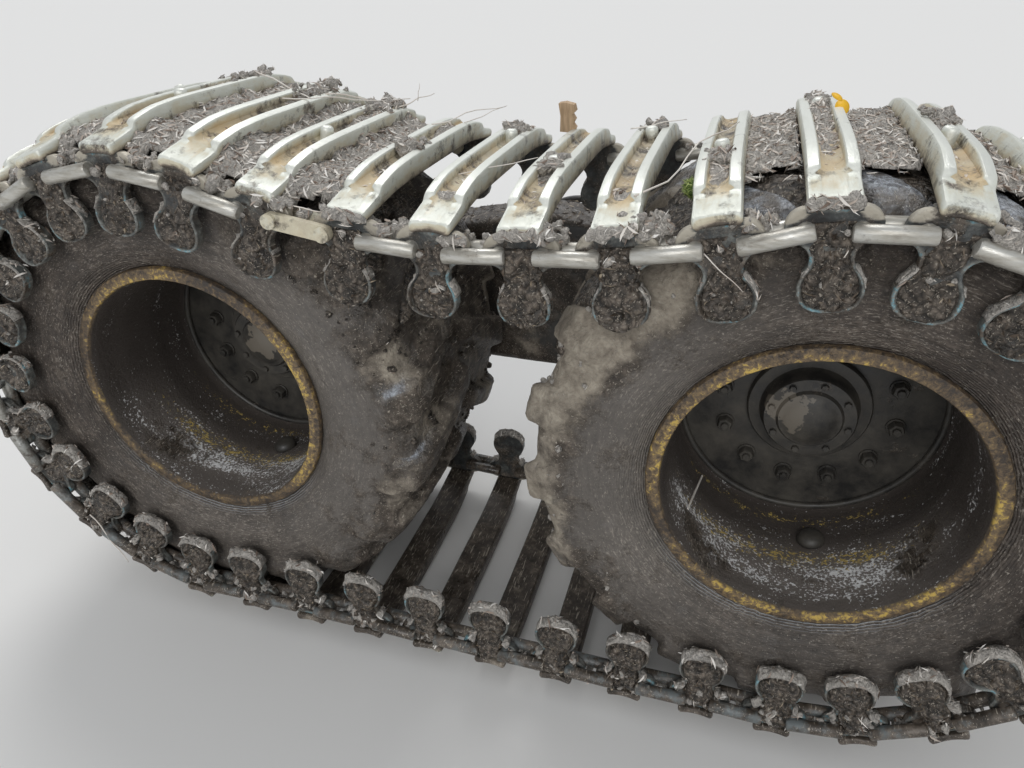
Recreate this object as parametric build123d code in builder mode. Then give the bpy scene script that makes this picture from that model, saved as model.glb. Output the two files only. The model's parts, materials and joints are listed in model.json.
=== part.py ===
from build123d import *
import math
import os

# One side's tracked bogie of a forestry forwarder, in millimetres.
# X runs along the bogie, Y points inboard towards the machine, Z is up and the ground is Z = 0.

# Wheels and their stance
wheelbase = 1545
bead_radius = 336.5
rim_flange_radius = 362.5
rim_width = 648
rim_flange_thickness = 19
rim_wall = 10.5
disc_depth = 395
disc_thickness = 22

# Tyres
tyre_tip_radius = 662
tread_depth = 38
tyre_width = 704
bulge_radius = 480
tread_width = 650
lug_count = 18
lug_start_angle = 5.75
lug_rise = 20
lug_root_depth = 45
lug_width = 78
lug_slant = 130
lug_middle = 30
seat_gap = 0.3

# Track
shoe_count = 38
track_clearance = 14
departure_angle = 16
shoe_length = 828
shoe_width = 92
tongue_thickness = 24
tongue_base = 30
rib_top = 111
rib_width = 24
crown_base = 59
channel_floor = 84
crown_half_length = 215
stud_width = 28
stud_rise = 8
stud_place = 125
stud_seat = 5
stud_step = 2
side_plate_inner = 384
side_plate_thickness = 30
paddle_depth = 141
paddle_width = 108
neck_width = 64
link_top = 36
link_bottom = -10
joining_link_extra = 25
joining_link_x = -325

# Hubs
hub_pilot_radius = 150
hub_flange_radius = 250
hub_flange_thickness = 22
hub_drum_radius = 185
hub_drum_end = 262
cover_radius = 112
cover_end = -5
cover_step = 20
nut_count = 12
nut_circle_radius = 212.5
nut_radius = 22
nut_height = 28
spindle_radius = 62
running_gap = 0.3
valve_guard_radius = 30
valve_guard_height = 22
valve_guard_facets = 12
valve_guard_y = -74
valve_guard_angle = 80

# Bogie case, axle housings and trunnion
case_outer_face = 440
case_width = 200
case_wall = 18
case_end_radius = 190
case_middle_radius = 255
pivot_rise = 60
housing_flange_radius = 215
housing_flange_thickness = 24
housing_radius = 150
housing_gap = 8
case_cover_radius = 140
case_cover_thickness = 14
case_chamfer = 15
plug_share = 0.55
plug_drop = 120
plug_radius = 18
plug_height = 14
pivot_housing_radius = 215
pivot_housing_width = 60
trunnion_radius = 110
trunnion_insert = 140
axle_tube_radius = 125
axle_tube_length = 160
axle_flange_radius = 195
axle_flange_thickness = 25
axle_bolt_circle_radius = 165
axle_bolt_count = 12
axle_bolt_radius = 11
moving_clearance = 6

# Places worked out from the sizes above
wheel_x = {"front": wheelbase / 2, "rear": -wheelbase / 2}
link_line_radius = tyre_tip_radius + track_clearance - crown_base
axle_z = link_line_radius + rib_top + stud_rise
case_inner_face = case_outer_face + case_width
axle_tube_start = case_inner_face + pivot_housing_width + moving_clearance
inboard_reach = axle_tube_start + axle_tube_length + axle_flange_thickness
wheel_plane_y = (shoe_length / 2 - inboard_reach) / 2
disc_face = disc_depth - rim_width / 2
disc_back = disc_face + disc_thickness

os.makedirs("parts", exist_ok=True)


def finish(part, label):
    part.label = label
    export_step(part, f"parts/{label}.step")


def place_wheel_part(part, name):
    """Writes a wheel piece, modelled about its own axle with Z inboard, at the front and the rear wheel."""
    for end, x in wheel_x.items():
        seat = Plane(origin=(x, wheel_plane_y, axle_z), x_dir=(1, 0, 0), z_dir=(0, 1, 0))
        finish(part.moved(seat.location), f"{name}_{end}")


# Track path: the line of the link pins, flat on the ground, round both wheels and sagging between their tops
lean = math.radians(departure_angle)
leave_x = wheelbase / 2 - link_line_radius * math.sin(lean)
sag_radius = leave_x / math.sin(lean)
wheel_wrap = link_line_radius * (math.pi + lean)
sag_run = sag_radius * 2 * lean
loop_length = wheelbase + 2 * wheel_wrap + sag_run
sag_centre_z = axle_z + (link_line_radius + sag_radius) * math.cos(lean)


def loop_place(distance):
    """Point (x, z) and direction of travel at a distance from the middle of the top run, towards the front."""
    distance = (distance + loop_length / 2) % loop_length - loop_length / 2
    side = 1 if distance >= 0 else -1
    gone = abs(distance)
    if gone < sag_run / 2:
        turn = gone / sag_radius
        x = sag_radius * math.sin(turn)
        z = sag_centre_z - sag_radius * math.cos(turn)
        heading = turn
    elif gone < sag_run / 2 + wheel_wrap:
        turn = (gone - sag_run / 2) / link_line_radius - lean
        x = wheelbase / 2 + link_line_radius * math.sin(turn)
        z = axle_z + link_line_radius * math.cos(turn)
        heading = -turn
    else:
        x = wheelbase / 2 - (gone - sag_run / 2 - wheel_wrap)
        z = axle_z - link_line_radius
        heading = -math.pi
    return side * x, z, side * heading


shoe_pitch = (loop_length - joining_link_extra) / shoe_count
joining_link_distance = -sag_radius * math.asin(-joining_link_x / sag_radius)
first_shoe = joining_link_distance + (shoe_pitch + joining_link_extra) / 2
stations = [loop_place(first_shoe + k * shoe_pitch) for k in range(shoe_count)]


def beside(station, along, outward):
    """Point (x, z) at a distance along the track and outward from the link line at a shoe."""
    x, z, heading = station
    return (
        x + along * math.cos(heading) - outward * math.sin(heading),
        z + along * math.sin(heading) + outward * math.cos(heading),
    )


def shoe_plane(station):
    """Plane across the track at a shoe: first number inboard, second outward."""
    x, z, heading = station
    travel = (math.cos(heading), 0, math.sin(heading))
    return Plane(origin=(x, wheel_plane_y, z), x_dir=(0, 1, 0), z_dir=travel)


def stud_plane(station, across):
    """Plane that a stud rises from, just under the channel's floor."""
    x, z = beside(station, 0, channel_floor - stud_seat)
    heading = station[2]
    return Plane(
        origin=(x, wheel_plane_y + across, z),
        x_dir=(0, 1, 0),
        z_dir=(-math.sin(heading), 0, math.cos(heading)),
    )


# Track: cross members with two ribs, a channel and here and there a stud, on bands of plates, paddles and links
shoe_planes = [shoe_plane(station) for station in stations]
stud_planes = [stud_plane(station, stud_place) for station in stations[1::stud_step]]
tip = shoe_length / 2
with BuildPart() as track:
    with BuildSketch(*shoe_planes):
        with BuildLine():
            Polyline(
                (-tip, tongue_base),
                (-crown_half_length, crown_base),
                (crown_half_length, crown_base),
                (tip, tongue_base),
                (tip, tongue_base + tongue_thickness),
                (crown_half_length, rib_top),
                (-crown_half_length, rib_top),
                (-tip, tongue_base + tongue_thickness),
                close=True,
            )
        make_face()
    extrude(amount=shoe_width / 2, both=True)
    with BuildSketch(*shoe_planes):
        with BuildLine():
            Polyline(
                (-tip, channel_floor),
                (tip, channel_floor),
                (tip, rib_top + 1),
                (-tip, rib_top + 1),
                close=True,
            )
        make_face()
    extrude(amount=shoe_width / 2 - rib_width, both=True, mode=Mode.SUBTRACT)
    with BuildSketch(*stud_planes):
        Rectangle(stud_width, stud_width)
    extrude(amount=stud_seat + rib_top + stud_rise - channel_floor)
    for band_y in (side_plate_inner, -side_plate_inner - side_plate_thickness):
        band_plane = Plane(
            origin=(0, wheel_plane_y + band_y, 0), x_dir=(1, 0, 0), z_dir=(0, -1, 0)
        )
        with BuildSketch(band_plane):
            outer = []
            inner = []
            for station in stations:
                outer.append(beside(station, 0, link_top))
                inner.append(beside(station, -neck_width / 2, link_bottom))
                inner.append(beside(station, -paddle_width / 2, -paddle_depth))
                inner.append(beside(station, paddle_width / 2, -paddle_depth))
                inner.append(beside(station, neck_width / 2, link_bottom))
            with BuildLine():
                Polyline(*outer, close=True)
            make_face()
            with BuildLine():
                Polyline(*inner, close=True)
            make_face(mode=Mode.SUBTRACT)
        extrude(amount=-side_plate_thickness)
finish(track.part, "track")


# Round pieces are drawn with flat facets, their corners on the real circle
round_facets = 36
half_turn = 180
half_facet = half_turn / round_facets


def ring_sketch(radius):
    """Facet outline whose corners lie on the real circle."""
    return RegularPolygon(radius, round_facets, rotation=half_facet)


def bore_sketch(radius):
    """Facet outline whose flats lie on the real circle, for a hole round another piece."""
    return RegularPolygon(radius, round_facets, major_radius=False, rotation=half_facet, mode=Mode.SUBTRACT)


# Tyres: one carcass sector for each lug, with slanted lugs, those of the two halves half a pitch apart
shoulder_radius = tyre_tip_radius - tread_depth
lug_pitch = 360 / lug_count
half_rim = rim_width / 2
flange_face = half_rim - rim_flange_thickness
bead_face = flange_face - seat_gap
flat_share = math.cos(math.radians(lug_pitch / 2))
with BuildPart() as tyre_sector:
    with BuildSketch(Plane.XZ):
        with BuildLine():
            Polyline(
                (bead_radius + seat_gap, -bead_face),
                (rim_flange_radius + seat_gap, -bead_face),
                (bulge_radius * flat_share, -tyre_width / 2),
                (shoulder_radius * flat_share, -tread_width / 2),
                (shoulder_radius * flat_share, tread_width / 2),
                (bulge_radius * flat_share, tyre_width / 2),
                (rim_flange_radius + seat_gap, bead_face),
                (bead_radius + seat_gap, bead_face),
                close=True,
            )
        make_face()
    extrude(amount=shoulder_radius, both=True)
    for turn in (lug_pitch / 2, half_turn - lug_pitch / 2):
        split(bisect_by=Plane.XZ.rotated((0, 0, turn)), keep=Keep.TOP)

lug_length = tread_width / 2 - lug_middle
lug_top = math.sqrt(tyre_tip_radius**2 - (lug_slant / 2 + lug_width / 2) ** 2)
lug_height = lug_top - lug_rise - shoulder_radius + lug_root_depth
with BuildPart() as lug:
    with BuildSketch(Plane.XY.offset(-tread_width / 2)):
        with Locations((lug_top - lug_rise - lug_height / 2, lug_slant / 2)):
            Rectangle(lug_height, lug_width)
    lean_way = Vector(lug_rise, -lug_slant, lug_length)
    extrude(amount=lean_way.length, dir=lean_way)
other_lug = lug.part.mirror(Plane.XY)

with BuildPart() as tyre:
    with PolarLocations(0, lug_count, start_angle=lug_start_angle):
        add(tyre_sector.part)
        add(lug.part)
    with PolarLocations(0, lug_count, start_angle=lug_start_angle + lug_pitch / 2):
        add(other_lug)
place_wheel_part(tyre.part, "tyre")

# Rims: barrel with a flange at each edge
barrel_inner = bead_radius - rim_wall
with BuildPart() as rim:
    with BuildSketch(Plane.XY):
        ring_sketch(bead_radius)
    extrude(amount=half_rim, both=True)
    for side in (-1, 1):
        with BuildSketch(Plane.XY.offset(side * flange_face)):
            ring_sketch(rim_flange_radius)
        extrude(amount=side * rim_flange_thickness)
    with BuildSketch(Plane.XY):
        ring_sketch(barrel_inner)
    extrude(amount=half_rim, both=True, mode=Mode.SUBTRACT)
place_wheel_part(rim.part, "rim")

# Wheel discs: welded inside the barrel, far from the outer flange, with the nuts that hold them on the hubs
with BuildPart() as disc:
    with BuildSketch(Plane.XY.offset(disc_face)):
        ring_sketch(barrel_inner)
        bore_sketch(hub_pilot_radius + seat_gap)
    extrude(amount=disc_thickness)
place_wheel_part(disc.part, "wheel_disc")

with BuildPart() as nuts:
    with BuildSketch(Plane.XY.offset(disc_face)):
        with PolarLocations(nut_circle_radius, nut_count):
            RegularPolygon(nut_radius, 6)
    extrude(amount=-nut_height)
place_wheel_part(nuts.part, "wheel_nuts")

# Valve guards: a small cap on the inside of the barrel
guard_seat = barrel_inner * math.cos(math.radians(half_facet)) - seat_gap
guard_turn = math.radians(valve_guard_angle)
inward = Vector(-math.cos(guard_turn), -math.sin(guard_turn), 0)
with BuildPart() as valve_guard:
    with BuildSketch(Plane(origin=inward * -guard_seat + Vector(0, 0, valve_guard_y), z_dir=inward)):
        RegularPolygon(valve_guard_radius, valve_guard_facets)
    extrude(amount=valve_guard_height)
place_wheel_part(valve_guard.part, "valve_guard")

# Hubs: a drum that turns on its spindle, with the flange that the disc is bolted to and a stepped cover
bore_end = disc_back + hub_flange_thickness
with BuildPart() as hub:
    with BuildSketch(Plane.XY.offset(cover_end)):
        ring_sketch(cover_radius)
    extrude(amount=disc_face - cover_end)
    with BuildSketch(Plane.XY.offset(disc_face - cover_step)):
        ring_sketch(hub_pilot_radius)
    extrude(amount=cover_step + disc_thickness)
    with BuildSketch(Plane.XY.offset(disc_back)):
        ring_sketch(hub_flange_radius)
    extrude(amount=hub_flange_thickness)
    with BuildSketch(Plane.XY.offset(disc_back + hub_flange_thickness)):
        ring_sketch(hub_drum_radius)
    extrude(amount=hub_drum_end - disc_back - hub_flange_thickness)
    with BuildSketch(Plane.XY.offset(hub_drum_end)):
        RegularPolygon(spindle_radius + running_gap, round_facets, major_radius=False)
    extrude(amount=bore_end - hub_drum_end, mode=Mode.SUBTRACT)
place_wheel_part(hub.part, "hub")

# Axle housings: bolted to the case, each with the spindle that carries its hub
housing_start = case_outer_face - housing_flange_thickness
with BuildPart() as axle_housings:
    for x in wheel_x.values():
        axle = Plane(origin=(x, wheel_plane_y, axle_z), x_dir=(1, 0, 0), z_dir=(0, 1, 0))
        with BuildSketch(axle.offset(housing_start)):
            ring_sketch(housing_flange_radius)
        extrude(amount=housing_flange_thickness)
        with BuildSketch(axle.offset(hub_drum_end + housing_gap)):
            ring_sketch(housing_radius)
        extrude(amount=housing_start - hub_drum_end - housing_gap)
        with BuildSketch(axle.offset(bore_end + moving_clearance)):
            ring_sketch(spindle_radius)
        extrude(amount=hub_drum_end + housing_gap - bore_end - moving_clearance)
finish(axle_housings.part, "axle_housings")

# Bogie case: the long gear case that joins both axles, hollow round a boss that holds the trunnion
pivot_z = axle_z + pivot_rise
case_front = Plane(origin=(0, wheel_plane_y + case_outer_face, 0), x_dir=(1, 0, 0), z_dir=(0, -1, 0))
case_back = Plane(origin=(0, wheel_plane_y + case_inner_face, 0), x_dir=(1, 0, 0), z_dir=(0, -1, 0))
trunnion_start = case_inner_face + pivot_housing_width - trunnion_insert
with BuildPart() as bogie_case:
    with BuildSketch(case_front):
        with Locations(*[(x, axle_z) for x in wheel_x.values()]):
            ring_sketch(case_end_radius)
        with Locations((0, pivot_z)):
            ring_sketch(case_middle_radius)
        make_hull()
    extrude(amount=-case_width)
    chamfer(bogie_case.edges().group_by(Axis.Y)[-1], length=case_chamfer)
    with BuildSketch(case_back):
        with Locations((0, pivot_z)):
            RegularPolygon(trunnion_radius + running_gap, round_facets, major_radius=False)
    extrude(amount=trunnion_insert - pivot_housing_width, mode=Mode.SUBTRACT)
    with BuildSketch(case_front.offset(-case_wall)):
        with Locations(*[(x, axle_z) for x in wheel_x.values()]):
            ring_sketch(case_end_radius - case_wall)
        with Locations((0, pivot_z)):
            ring_sketch(case_middle_radius - case_wall)
        make_hull()
        with Locations((0, pivot_z)):
            bore_sketch(trunnion_radius + case_wall)
    extrude(amount=2 * case_wall - case_width, mode=Mode.SUBTRACT)
finish(bogie_case.part, "bogie_case")

with BuildPart() as pivot_housing:
    with BuildSketch(case_back):
        with Locations((0, pivot_z)):
            ring_sketch(pivot_housing_radius)
            bore_sketch(trunnion_radius + running_gap)
    extrude(amount=-pivot_housing_width)
finish(pivot_housing.part, "pivot_housing")

with BuildPart() as case_covers:
    with BuildSketch(case_back):
        with Locations(*[(x, axle_z) for x in wheel_x.values()]):
            ring_sketch(case_cover_radius)
    extrude(amount=-case_cover_thickness)
finish(case_covers.part, "case_covers")

with BuildPart() as case_plugs:
    with BuildSketch(case_back):
        with Locations(*[(x * plug_share, axle_z - plug_drop) for x in wheel_x.values()]):
            RegularPolygon(plug_radius, 6)
    extrude(amount=-plug_height)
finish(case_plugs.part, "case_plugs")

# Axle stub: the trunnion that the case rocks on, and the flange that bolts it to the machine's axle
with BuildPart() as axle_stub:
    with BuildSketch(case_back.offset(case_inner_face - trunnion_start)):
        with Locations((0, pivot_z)):
            ring_sketch(trunnion_radius)
    extrude(amount=trunnion_start - axle_tube_start)
    with BuildSketch(case_back.offset(case_inner_face - axle_tube_start)):
        with Locations((0, pivot_z)):
            ring_sketch(axle_tube_radius)
    extrude(amount=-axle_tube_length)
    with BuildSketch(case_back.offset(case_inner_face - axle_tube_start - axle_tube_length)):
        with Locations((0, pivot_z)):
            ring_sketch(axle_flange_radius)
            with PolarLocations(axle_bolt_circle_radius, axle_bolt_count):
                Circle(axle_bolt_radius, mode=Mode.SUBTRACT)
    extrude(amount=-axle_flange_thickness)
finish(axle_stub.part, "axle_stub")
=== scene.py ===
import bmesh
import bpy
import json
import math
import numpy as np
from mathutils import Matrix, Vector, noise
from mathutils.bvhtree import BVHTree

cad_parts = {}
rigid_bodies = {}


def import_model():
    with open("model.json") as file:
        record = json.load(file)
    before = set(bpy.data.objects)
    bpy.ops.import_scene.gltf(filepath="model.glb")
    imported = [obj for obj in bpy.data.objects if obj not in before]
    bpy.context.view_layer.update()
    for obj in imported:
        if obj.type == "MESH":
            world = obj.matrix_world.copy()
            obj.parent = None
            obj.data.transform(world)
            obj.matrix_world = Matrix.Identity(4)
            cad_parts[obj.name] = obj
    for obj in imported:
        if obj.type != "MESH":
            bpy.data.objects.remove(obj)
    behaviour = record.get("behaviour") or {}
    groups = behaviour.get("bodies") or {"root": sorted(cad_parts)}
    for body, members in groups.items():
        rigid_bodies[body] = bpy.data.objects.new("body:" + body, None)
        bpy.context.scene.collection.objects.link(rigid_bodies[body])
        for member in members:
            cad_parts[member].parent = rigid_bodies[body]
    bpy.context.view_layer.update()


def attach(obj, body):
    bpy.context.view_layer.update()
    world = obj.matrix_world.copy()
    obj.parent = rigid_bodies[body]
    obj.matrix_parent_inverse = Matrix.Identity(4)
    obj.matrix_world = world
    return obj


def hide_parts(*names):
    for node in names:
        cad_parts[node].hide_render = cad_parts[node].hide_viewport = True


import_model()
scene = bpy.context.scene
scene.view_settings.view_transform = "Standard"

# The studio. A plain pale floor, an even pale sky, a soft lamp above and behind the bogie like the
# overcast sky that whitens its steel, and a camera where the photograph was taken from.
PALE_FLOOR = (0.80, 0.79, 0.77, 1)
camera_place = Vector((0.521, -1.9286, 1.7548))
turn_left, look_down, roll = 0.2982, 0.5311, 0.0129
focal_pixels = 744.106


def wire(tree, kind, sockets=None, **settings):
    """Adds a node: settings are its own properties, sockets its inputs, each a value or a link."""
    made = tree.nodes.new(kind)
    for name, value in settings.items():
        setattr(made, name, value)
    for name, value in (sockets or {}).items():
        if isinstance(value, bpy.types.NodeSocket):
            tree.links.new(value, made.inputs[name])
        else:
            made.inputs[name].default_value = value
    return made


def paint_with(name, **plain):
    """A new material with its Principled shader; plain values go on the shader's own sockets."""
    material = bpy.data.materials.new(name)
    material.use_nodes = True
    shader = material.node_tree.nodes["Principled BSDF"]
    for socket, value in plain.items():
        shader.inputs[socket.replace("_", " ")].default_value = value
    return material, material.node_tree, shader


bpy.ops.mesh.primitive_plane_add(size=160, location=(0, 40, 0))
studio_floor = bpy.context.object
studio_floor.name = "studio_floor"
floor_material, tree, shader = paint_with("pale studio floor", Base_Color=PALE_FLOOR, Roughness=0.9)
studio_floor.data.materials.append(floor_material)

sky = bpy.data.worlds.new("even sky")
sky.use_nodes = True
sky.node_tree.nodes["Background"].inputs["Color"].default_value = (0.93, 0.96, 1.0, 1)
sky.node_tree.nodes["Background"].inputs["Strength"].default_value = 0.55
scene.world = sky
for name, towards, strength, softness in (
    ("sky lamp", (0.25, -0.62, -1.0), 1.00, 28),
    ("front lamp", (-0.06, 1.0, -0.60), 0.95, 32),
):
    lamp = bpy.data.lights.new(name, "SUN")
    lamp.energy = strength
    lamp.angle = math.radians(softness)
    holder = bpy.data.objects.new(name, lamp)
    holder.rotation_euler = Vector(towards).to_track_quat("-Z", "Y").to_euler()
    scene.collection.objects.link(holder)

ahead = Vector((
    -math.sin(turn_left) * math.cos(look_down),
    math.cos(turn_left) * math.cos(look_down),
    -math.sin(look_down),
))
level = Vector((math.cos(turn_left), math.sin(turn_left), 0))
below = ahead.cross(level)
right = math.cos(roll) * level + math.sin(roll) * below
down = math.cos(roll) * below - math.sin(roll) * level
camera_data = bpy.data.cameras.new("photograph camera")
camera_data.sensor_width = 36
camera_data.lens = focal_pixels * 36 / 1024
camera_data.clip_end = 400
camera = bpy.data.objects.new("photograph camera", camera_data)
camera.matrix_world = Matrix((
    (right.x, -down.x, -ahead.x, camera_place.x),
    (right.y, -down.y, -ahead.y, camera_place.y),
    (right.z, -down.z, -ahead.z, camera_place.z),
    (0, 0, 0, 1),
))
scene.collection.objects.link(camera)
scene.camera = camera


# Tyres. Wide forestry tyres of rubber: a carcass moulded in one with slanted lugs whose noses reach
# down the sidewall, smeared with mud that is wet below and dried pale on the shoulders, with painted
# sky reflections on the wet lugs and painted glints by the bead.
WHEELS = {"front": 0.7725, "rear": -0.7725}
wheel_y, axle_z = -0.2385, 0.736
lugs_a_side = 18
carcass_half = (
    (0.337, 0.285), (0.338, 0.300), (0.350, 0.3035), (0.3635, 0.3040), (0.372, 0.312),
    (0.395, 0.331), (0.430, 0.345), (0.475, 0.351), (0.520, 0.349), (0.560, 0.342),
    (0.592, 0.331), (0.610, 0.316), (0.619, 0.290), (0.623, 0.240), (0.625, 0.120),
)
lug_run = (
    (-15.2, 0.353, 0.540, 0.060), (-14.4, 0.360, 0.566, 0.088), (-13.4, 0.357, 0.586, 0.104),
    (-12.9, 0.335, 0.618, 0.108), (-12.3, 0.324, 0.644, 0.106), (-10.4, 0.285, 0.657, 0.096),
    (-7.0, 0.210, 0.661, 0.084), (-3.2, 0.120, 0.662, 0.072), (0.9, 0.030, 0.662, 0.062),
)
tyre_grain = 0.0082


def mesh_piece(name, points, faces, smooth=True):
    mesh = bpy.data.meshes.new(name)
    mesh.from_pydata([tuple(map(float, p)) for p in points], [], [tuple(map(int, f)) for f in faces])
    mesh.validate()
    mesh.shade_smooth() if smooth else mesh.shade_flat()
    piece = bpy.data.objects.new(name, mesh)
    scene.collection.objects.link(piece)
    return piece


def turned(profile, steps=128, closed=True):
    """Points and faces of a profile of (radius, y) turned about the Y axis."""
    rows = len(profile)
    angles = np.arange(steps) * 2 * math.pi / steps
    points = [(r * math.cos(a), y, r * math.sin(a)) for a in angles for r, y in profile]
    spans = rows if closed else rows - 1
    faces = []
    for i in range(steps):
        j = (i + 1) % steps
        for k in range(spans):
            n = (k + 1) % rows
            faces.append((i * rows + k, i * rows + n, j * rows + n, j * rows + k))
    return points, faces


def nodes_made(piece, tree, inputs=None):
    """Runs a Geometry Nodes tree on a piece and keeps its result as a plain mesh."""
    modifier = piece.modifiers.new("nodes", "NODES")
    modifier.node_group = tree
    for item in tree.interface.items_tree:
        if item.item_type == "SOCKET" and item.in_out == "INPUT" and item.name in (inputs or {}):
            modifier[item.identifier] = inputs[item.name]
    bpy.context.view_layer.update()
    result = bpy.data.meshes.new_from_object(
        piece.evaluated_get(bpy.context.evaluated_depsgraph_get())
    )
    piece.modifiers.remove(modifier)
    result.name = piece.name
    piece.data = result
    return piece


def new_tree(name, kind, inputs, outputs):
    """An empty node group with named sockets, its input node and its output node."""
    tree = bpy.data.node_groups.new(name, kind)
    for way, sockets in (("INPUT", inputs), ("OUTPUT", outputs)):
        for label, (sort, value) in sockets.items():
            socket = tree.interface.new_socket(label, in_out=way, socket_type="NodeSocket" + sort)
            if value is not None:
                socket.default_value = value
    return tree, wire(tree, "NodeGroupInput"), wire(tree, "NodeGroupOutput")


# Ring tree: repeats a piece drawn about the wheel's axle and sets the ring on that axle
ring_tree, given, out = new_tree(
    "ring about an axle", "GeometryNodeTree",
    {"Geometry": ("Geometry", None), "Count": ("Int", 12), "Start": ("Float", 0.0),
     "Axle": ("Vector", (0, 0, 0)), "Finish": ("Material", None)},
    {"Geometry": ("Geometry", None)},
)
seats = wire(ring_tree, "GeometryNodePoints", {"Count": given.outputs["Count"]})
share = wire(ring_tree, "ShaderNodeMath", {
    0: wire(ring_tree, "GeometryNodeInputIndex").outputs[0], 1: given.outputs["Count"],
}, operation="DIVIDE")
angle = wire(ring_tree, "ShaderNodeMath", {
    0: share.outputs[0], 1: -2 * math.pi, 2: given.outputs["Start"],
}, operation="MULTIPLY_ADD")
spin = wire(ring_tree, "ShaderNodeCombineXYZ", {"Y": angle.outputs[0]})
copies = wire(ring_tree, "GeometryNodeInstanceOnPoints", {
    "Points": seats.outputs[0], "Instance": given.outputs["Geometry"], "Rotation": spin.outputs[0],
})
placed = wire(ring_tree, "GeometryNodeTransform", {
    "Geometry": copies.outputs[0], "Translation": given.outputs["Axle"],
})
real = wire(ring_tree, "GeometryNodeRealizeInstances", {"Geometry": placed.outputs[0]})
finished = wire(ring_tree, "GeometryNodeSetMaterial", {
    "Geometry": real.outputs[0], "Material": given.outputs["Finish"],
})
ring_tree.links.new(finished.outputs[0], out.inputs[0])

# Mud group: clumped earth with fibres, from wet and dark to dry and pale
mud_tree, given, out = new_tree(
    "forest mud", "ShaderNodeTree",
    {"Scale": ("Float", 1.0), "Dryness": ("Float", 0.3), "Litter": ("Float", 0.2), "Crumbs": ("Float", 0.3)},
    {"Colour": ("Color", None), "Roughness": ("Float", None), "Height": ("Float", None)},
)
where = wire(mud_tree, "ShaderNodeTexCoord").outputs["Object"]
sized = wire(mud_tree, "ShaderNodeVectorMath", {0: where, 3: given.outputs["Scale"]}, operation="SCALE")
clumps = wire(mud_tree, "ShaderNodeTexNoise", {
    "Vector": sized.outputs[0], "Scale": 22, "Detail": 7, "Roughness": 0.68, "Distortion": 0.4,
})
patches = wire(mud_tree, "ShaderNodeTexNoise", {
    "Vector": sized.outputs[0], "Scale": 5.5, "Detail": 7, "Roughness": 0.62,
})
fibre_start = wire(mud_tree, "ShaderNodeMath", {0: given.outputs["Litter"], 1: -0.15, 2: 0.70},
                   operation="MULTIPLY_ADD")
fibre_full = wire(mud_tree, "ShaderNodeMath", {0: fibre_start.outputs[0], 1: 0.06}, operation="ADD")
fibre_masks = []
for turn, seed in (((0.4, 0.9, 0.2), 0.0), ((1.3, -0.5, 0.9), 7.0), ((-0.8, 0.3, 1.7), 13.0)):
    laid = wire(mud_tree, "ShaderNodeMapping", {
        "Vector": sized.outputs[0], "Rotation": turn, "Scale": (210, 24, 210),
        "Location": (seed, seed, seed),
    })
    strands = wire(mud_tree, "ShaderNodeTexNoise", {
        "Vector": laid.outputs[0], "Scale": 1.0, "Detail": 1, "Distortion": 0.6,
    })
    fibre_masks.append(wire(mud_tree, "ShaderNodeMapRange", {
        "Value": strands.outputs["Fac"], "From Min": fibre_start.outputs[0], "From Max": fibre_full.outputs[0],
    }).outputs[0])
cells = wire(mud_tree, "ShaderNodeTexVoronoi", {
    "Vector": wire(mud_tree, "ShaderNodeVectorMath", {
        0: sized.outputs[0], 1: wire(mud_tree, "ShaderNodeVectorMath", {
            0: wire(mud_tree, "ShaderNodeTexNoise", {
                "Vector": sized.outputs[0], "Scale": 30, "Detail": 3,
            }).outputs["Color"], 3: 0.035,
        }, operation="SCALE").outputs[0],
    }, operation="ADD").outputs[0],
    "Scale": 78,
})
crumb = wire(mud_tree, "ShaderNodeMath", {
    0: wire(mud_tree, "ShaderNodeMath", {0: cells.outputs["Distance"], 1: -0.62, 2: 0.27}, operation="MULTIPLY_ADD").outputs[0],
    1: given.outputs["Crumbs"], 2: 0.12,
}, operation="MULTIPLY_ADD")
body = wire(mud_tree, "ShaderNodeMath", {0: clumps.outputs["Fac"], 1: crumb.outputs[0]}, operation="ADD")
two = wire(mud_tree, "ShaderNodeMath", {0: fibre_masks[0], 1: fibre_masks[1]}, operation="MAXIMUM")
fibres = wire(mud_tree, "ShaderNodeMath", {0: two.outputs[0], 1: fibre_masks[2]}, operation="MAXIMUM")
earth = wire(mud_tree, "ShaderNodeValToRGB", {"Fac": body.outputs[0]})
for place, colour in ((0.38, (0.019, 0.015, 0.011, 1)), (0.62, (0.080, 0.064, 0.050, 1)),
                      (0.86, (0.230, 0.190, 0.152, 1))):
    stop = earth.color_ramp.elements.new(place)
    stop.color = colour
earth.color_ramp.elements.remove(earth.color_ramp.elements[0])
earth.color_ramp.elements.remove(earth.color_ramp.elements[-1])
dry_share = wire(mud_tree, "ShaderNodeMath", {
    0: patches.outputs["Fac"], 1: given.outputs["Dryness"],
}, operation="ADD")
dry_mask = wire(mud_tree, "ShaderNodeMapRange", {
    "Value": dry_share.outputs[0], "From Min": 0.90, "From Max": 1.06,
})
crust = wire(mud_tree, "ShaderNodeMapRange", {"Value": body.outputs[0], "From Min": 0.40, "From Max": 0.85})
crust_tone = wire(mud_tree, "ShaderNodeMix", {
    "Factor": crust.outputs[0], 6: (0.16, 0.132, 0.102, 1), 7: (0.47, 0.415, 0.335, 1),
}, data_type="RGBA")
dried = wire(mud_tree, "ShaderNodeMix", {
    "Factor": dry_mask.outputs[0], 6: earth.outputs["Color"], 7: crust_tone.outputs[2],
}, data_type="RGBA")
straw = wire(mud_tree, "ShaderNodeMix", {
    "Factor": clumps.outputs["Fac"], 6: (0.20, 0.165, 0.13, 1), 7: (0.62, 0.56, 0.47, 1),
}, data_type="RGBA")
strawy = wire(mud_tree, "ShaderNodeMix", {
    "Factor": fibres.outputs[0], 6: dried.outputs[2], 7: straw.outputs[2],
}, data_type="RGBA")
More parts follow.
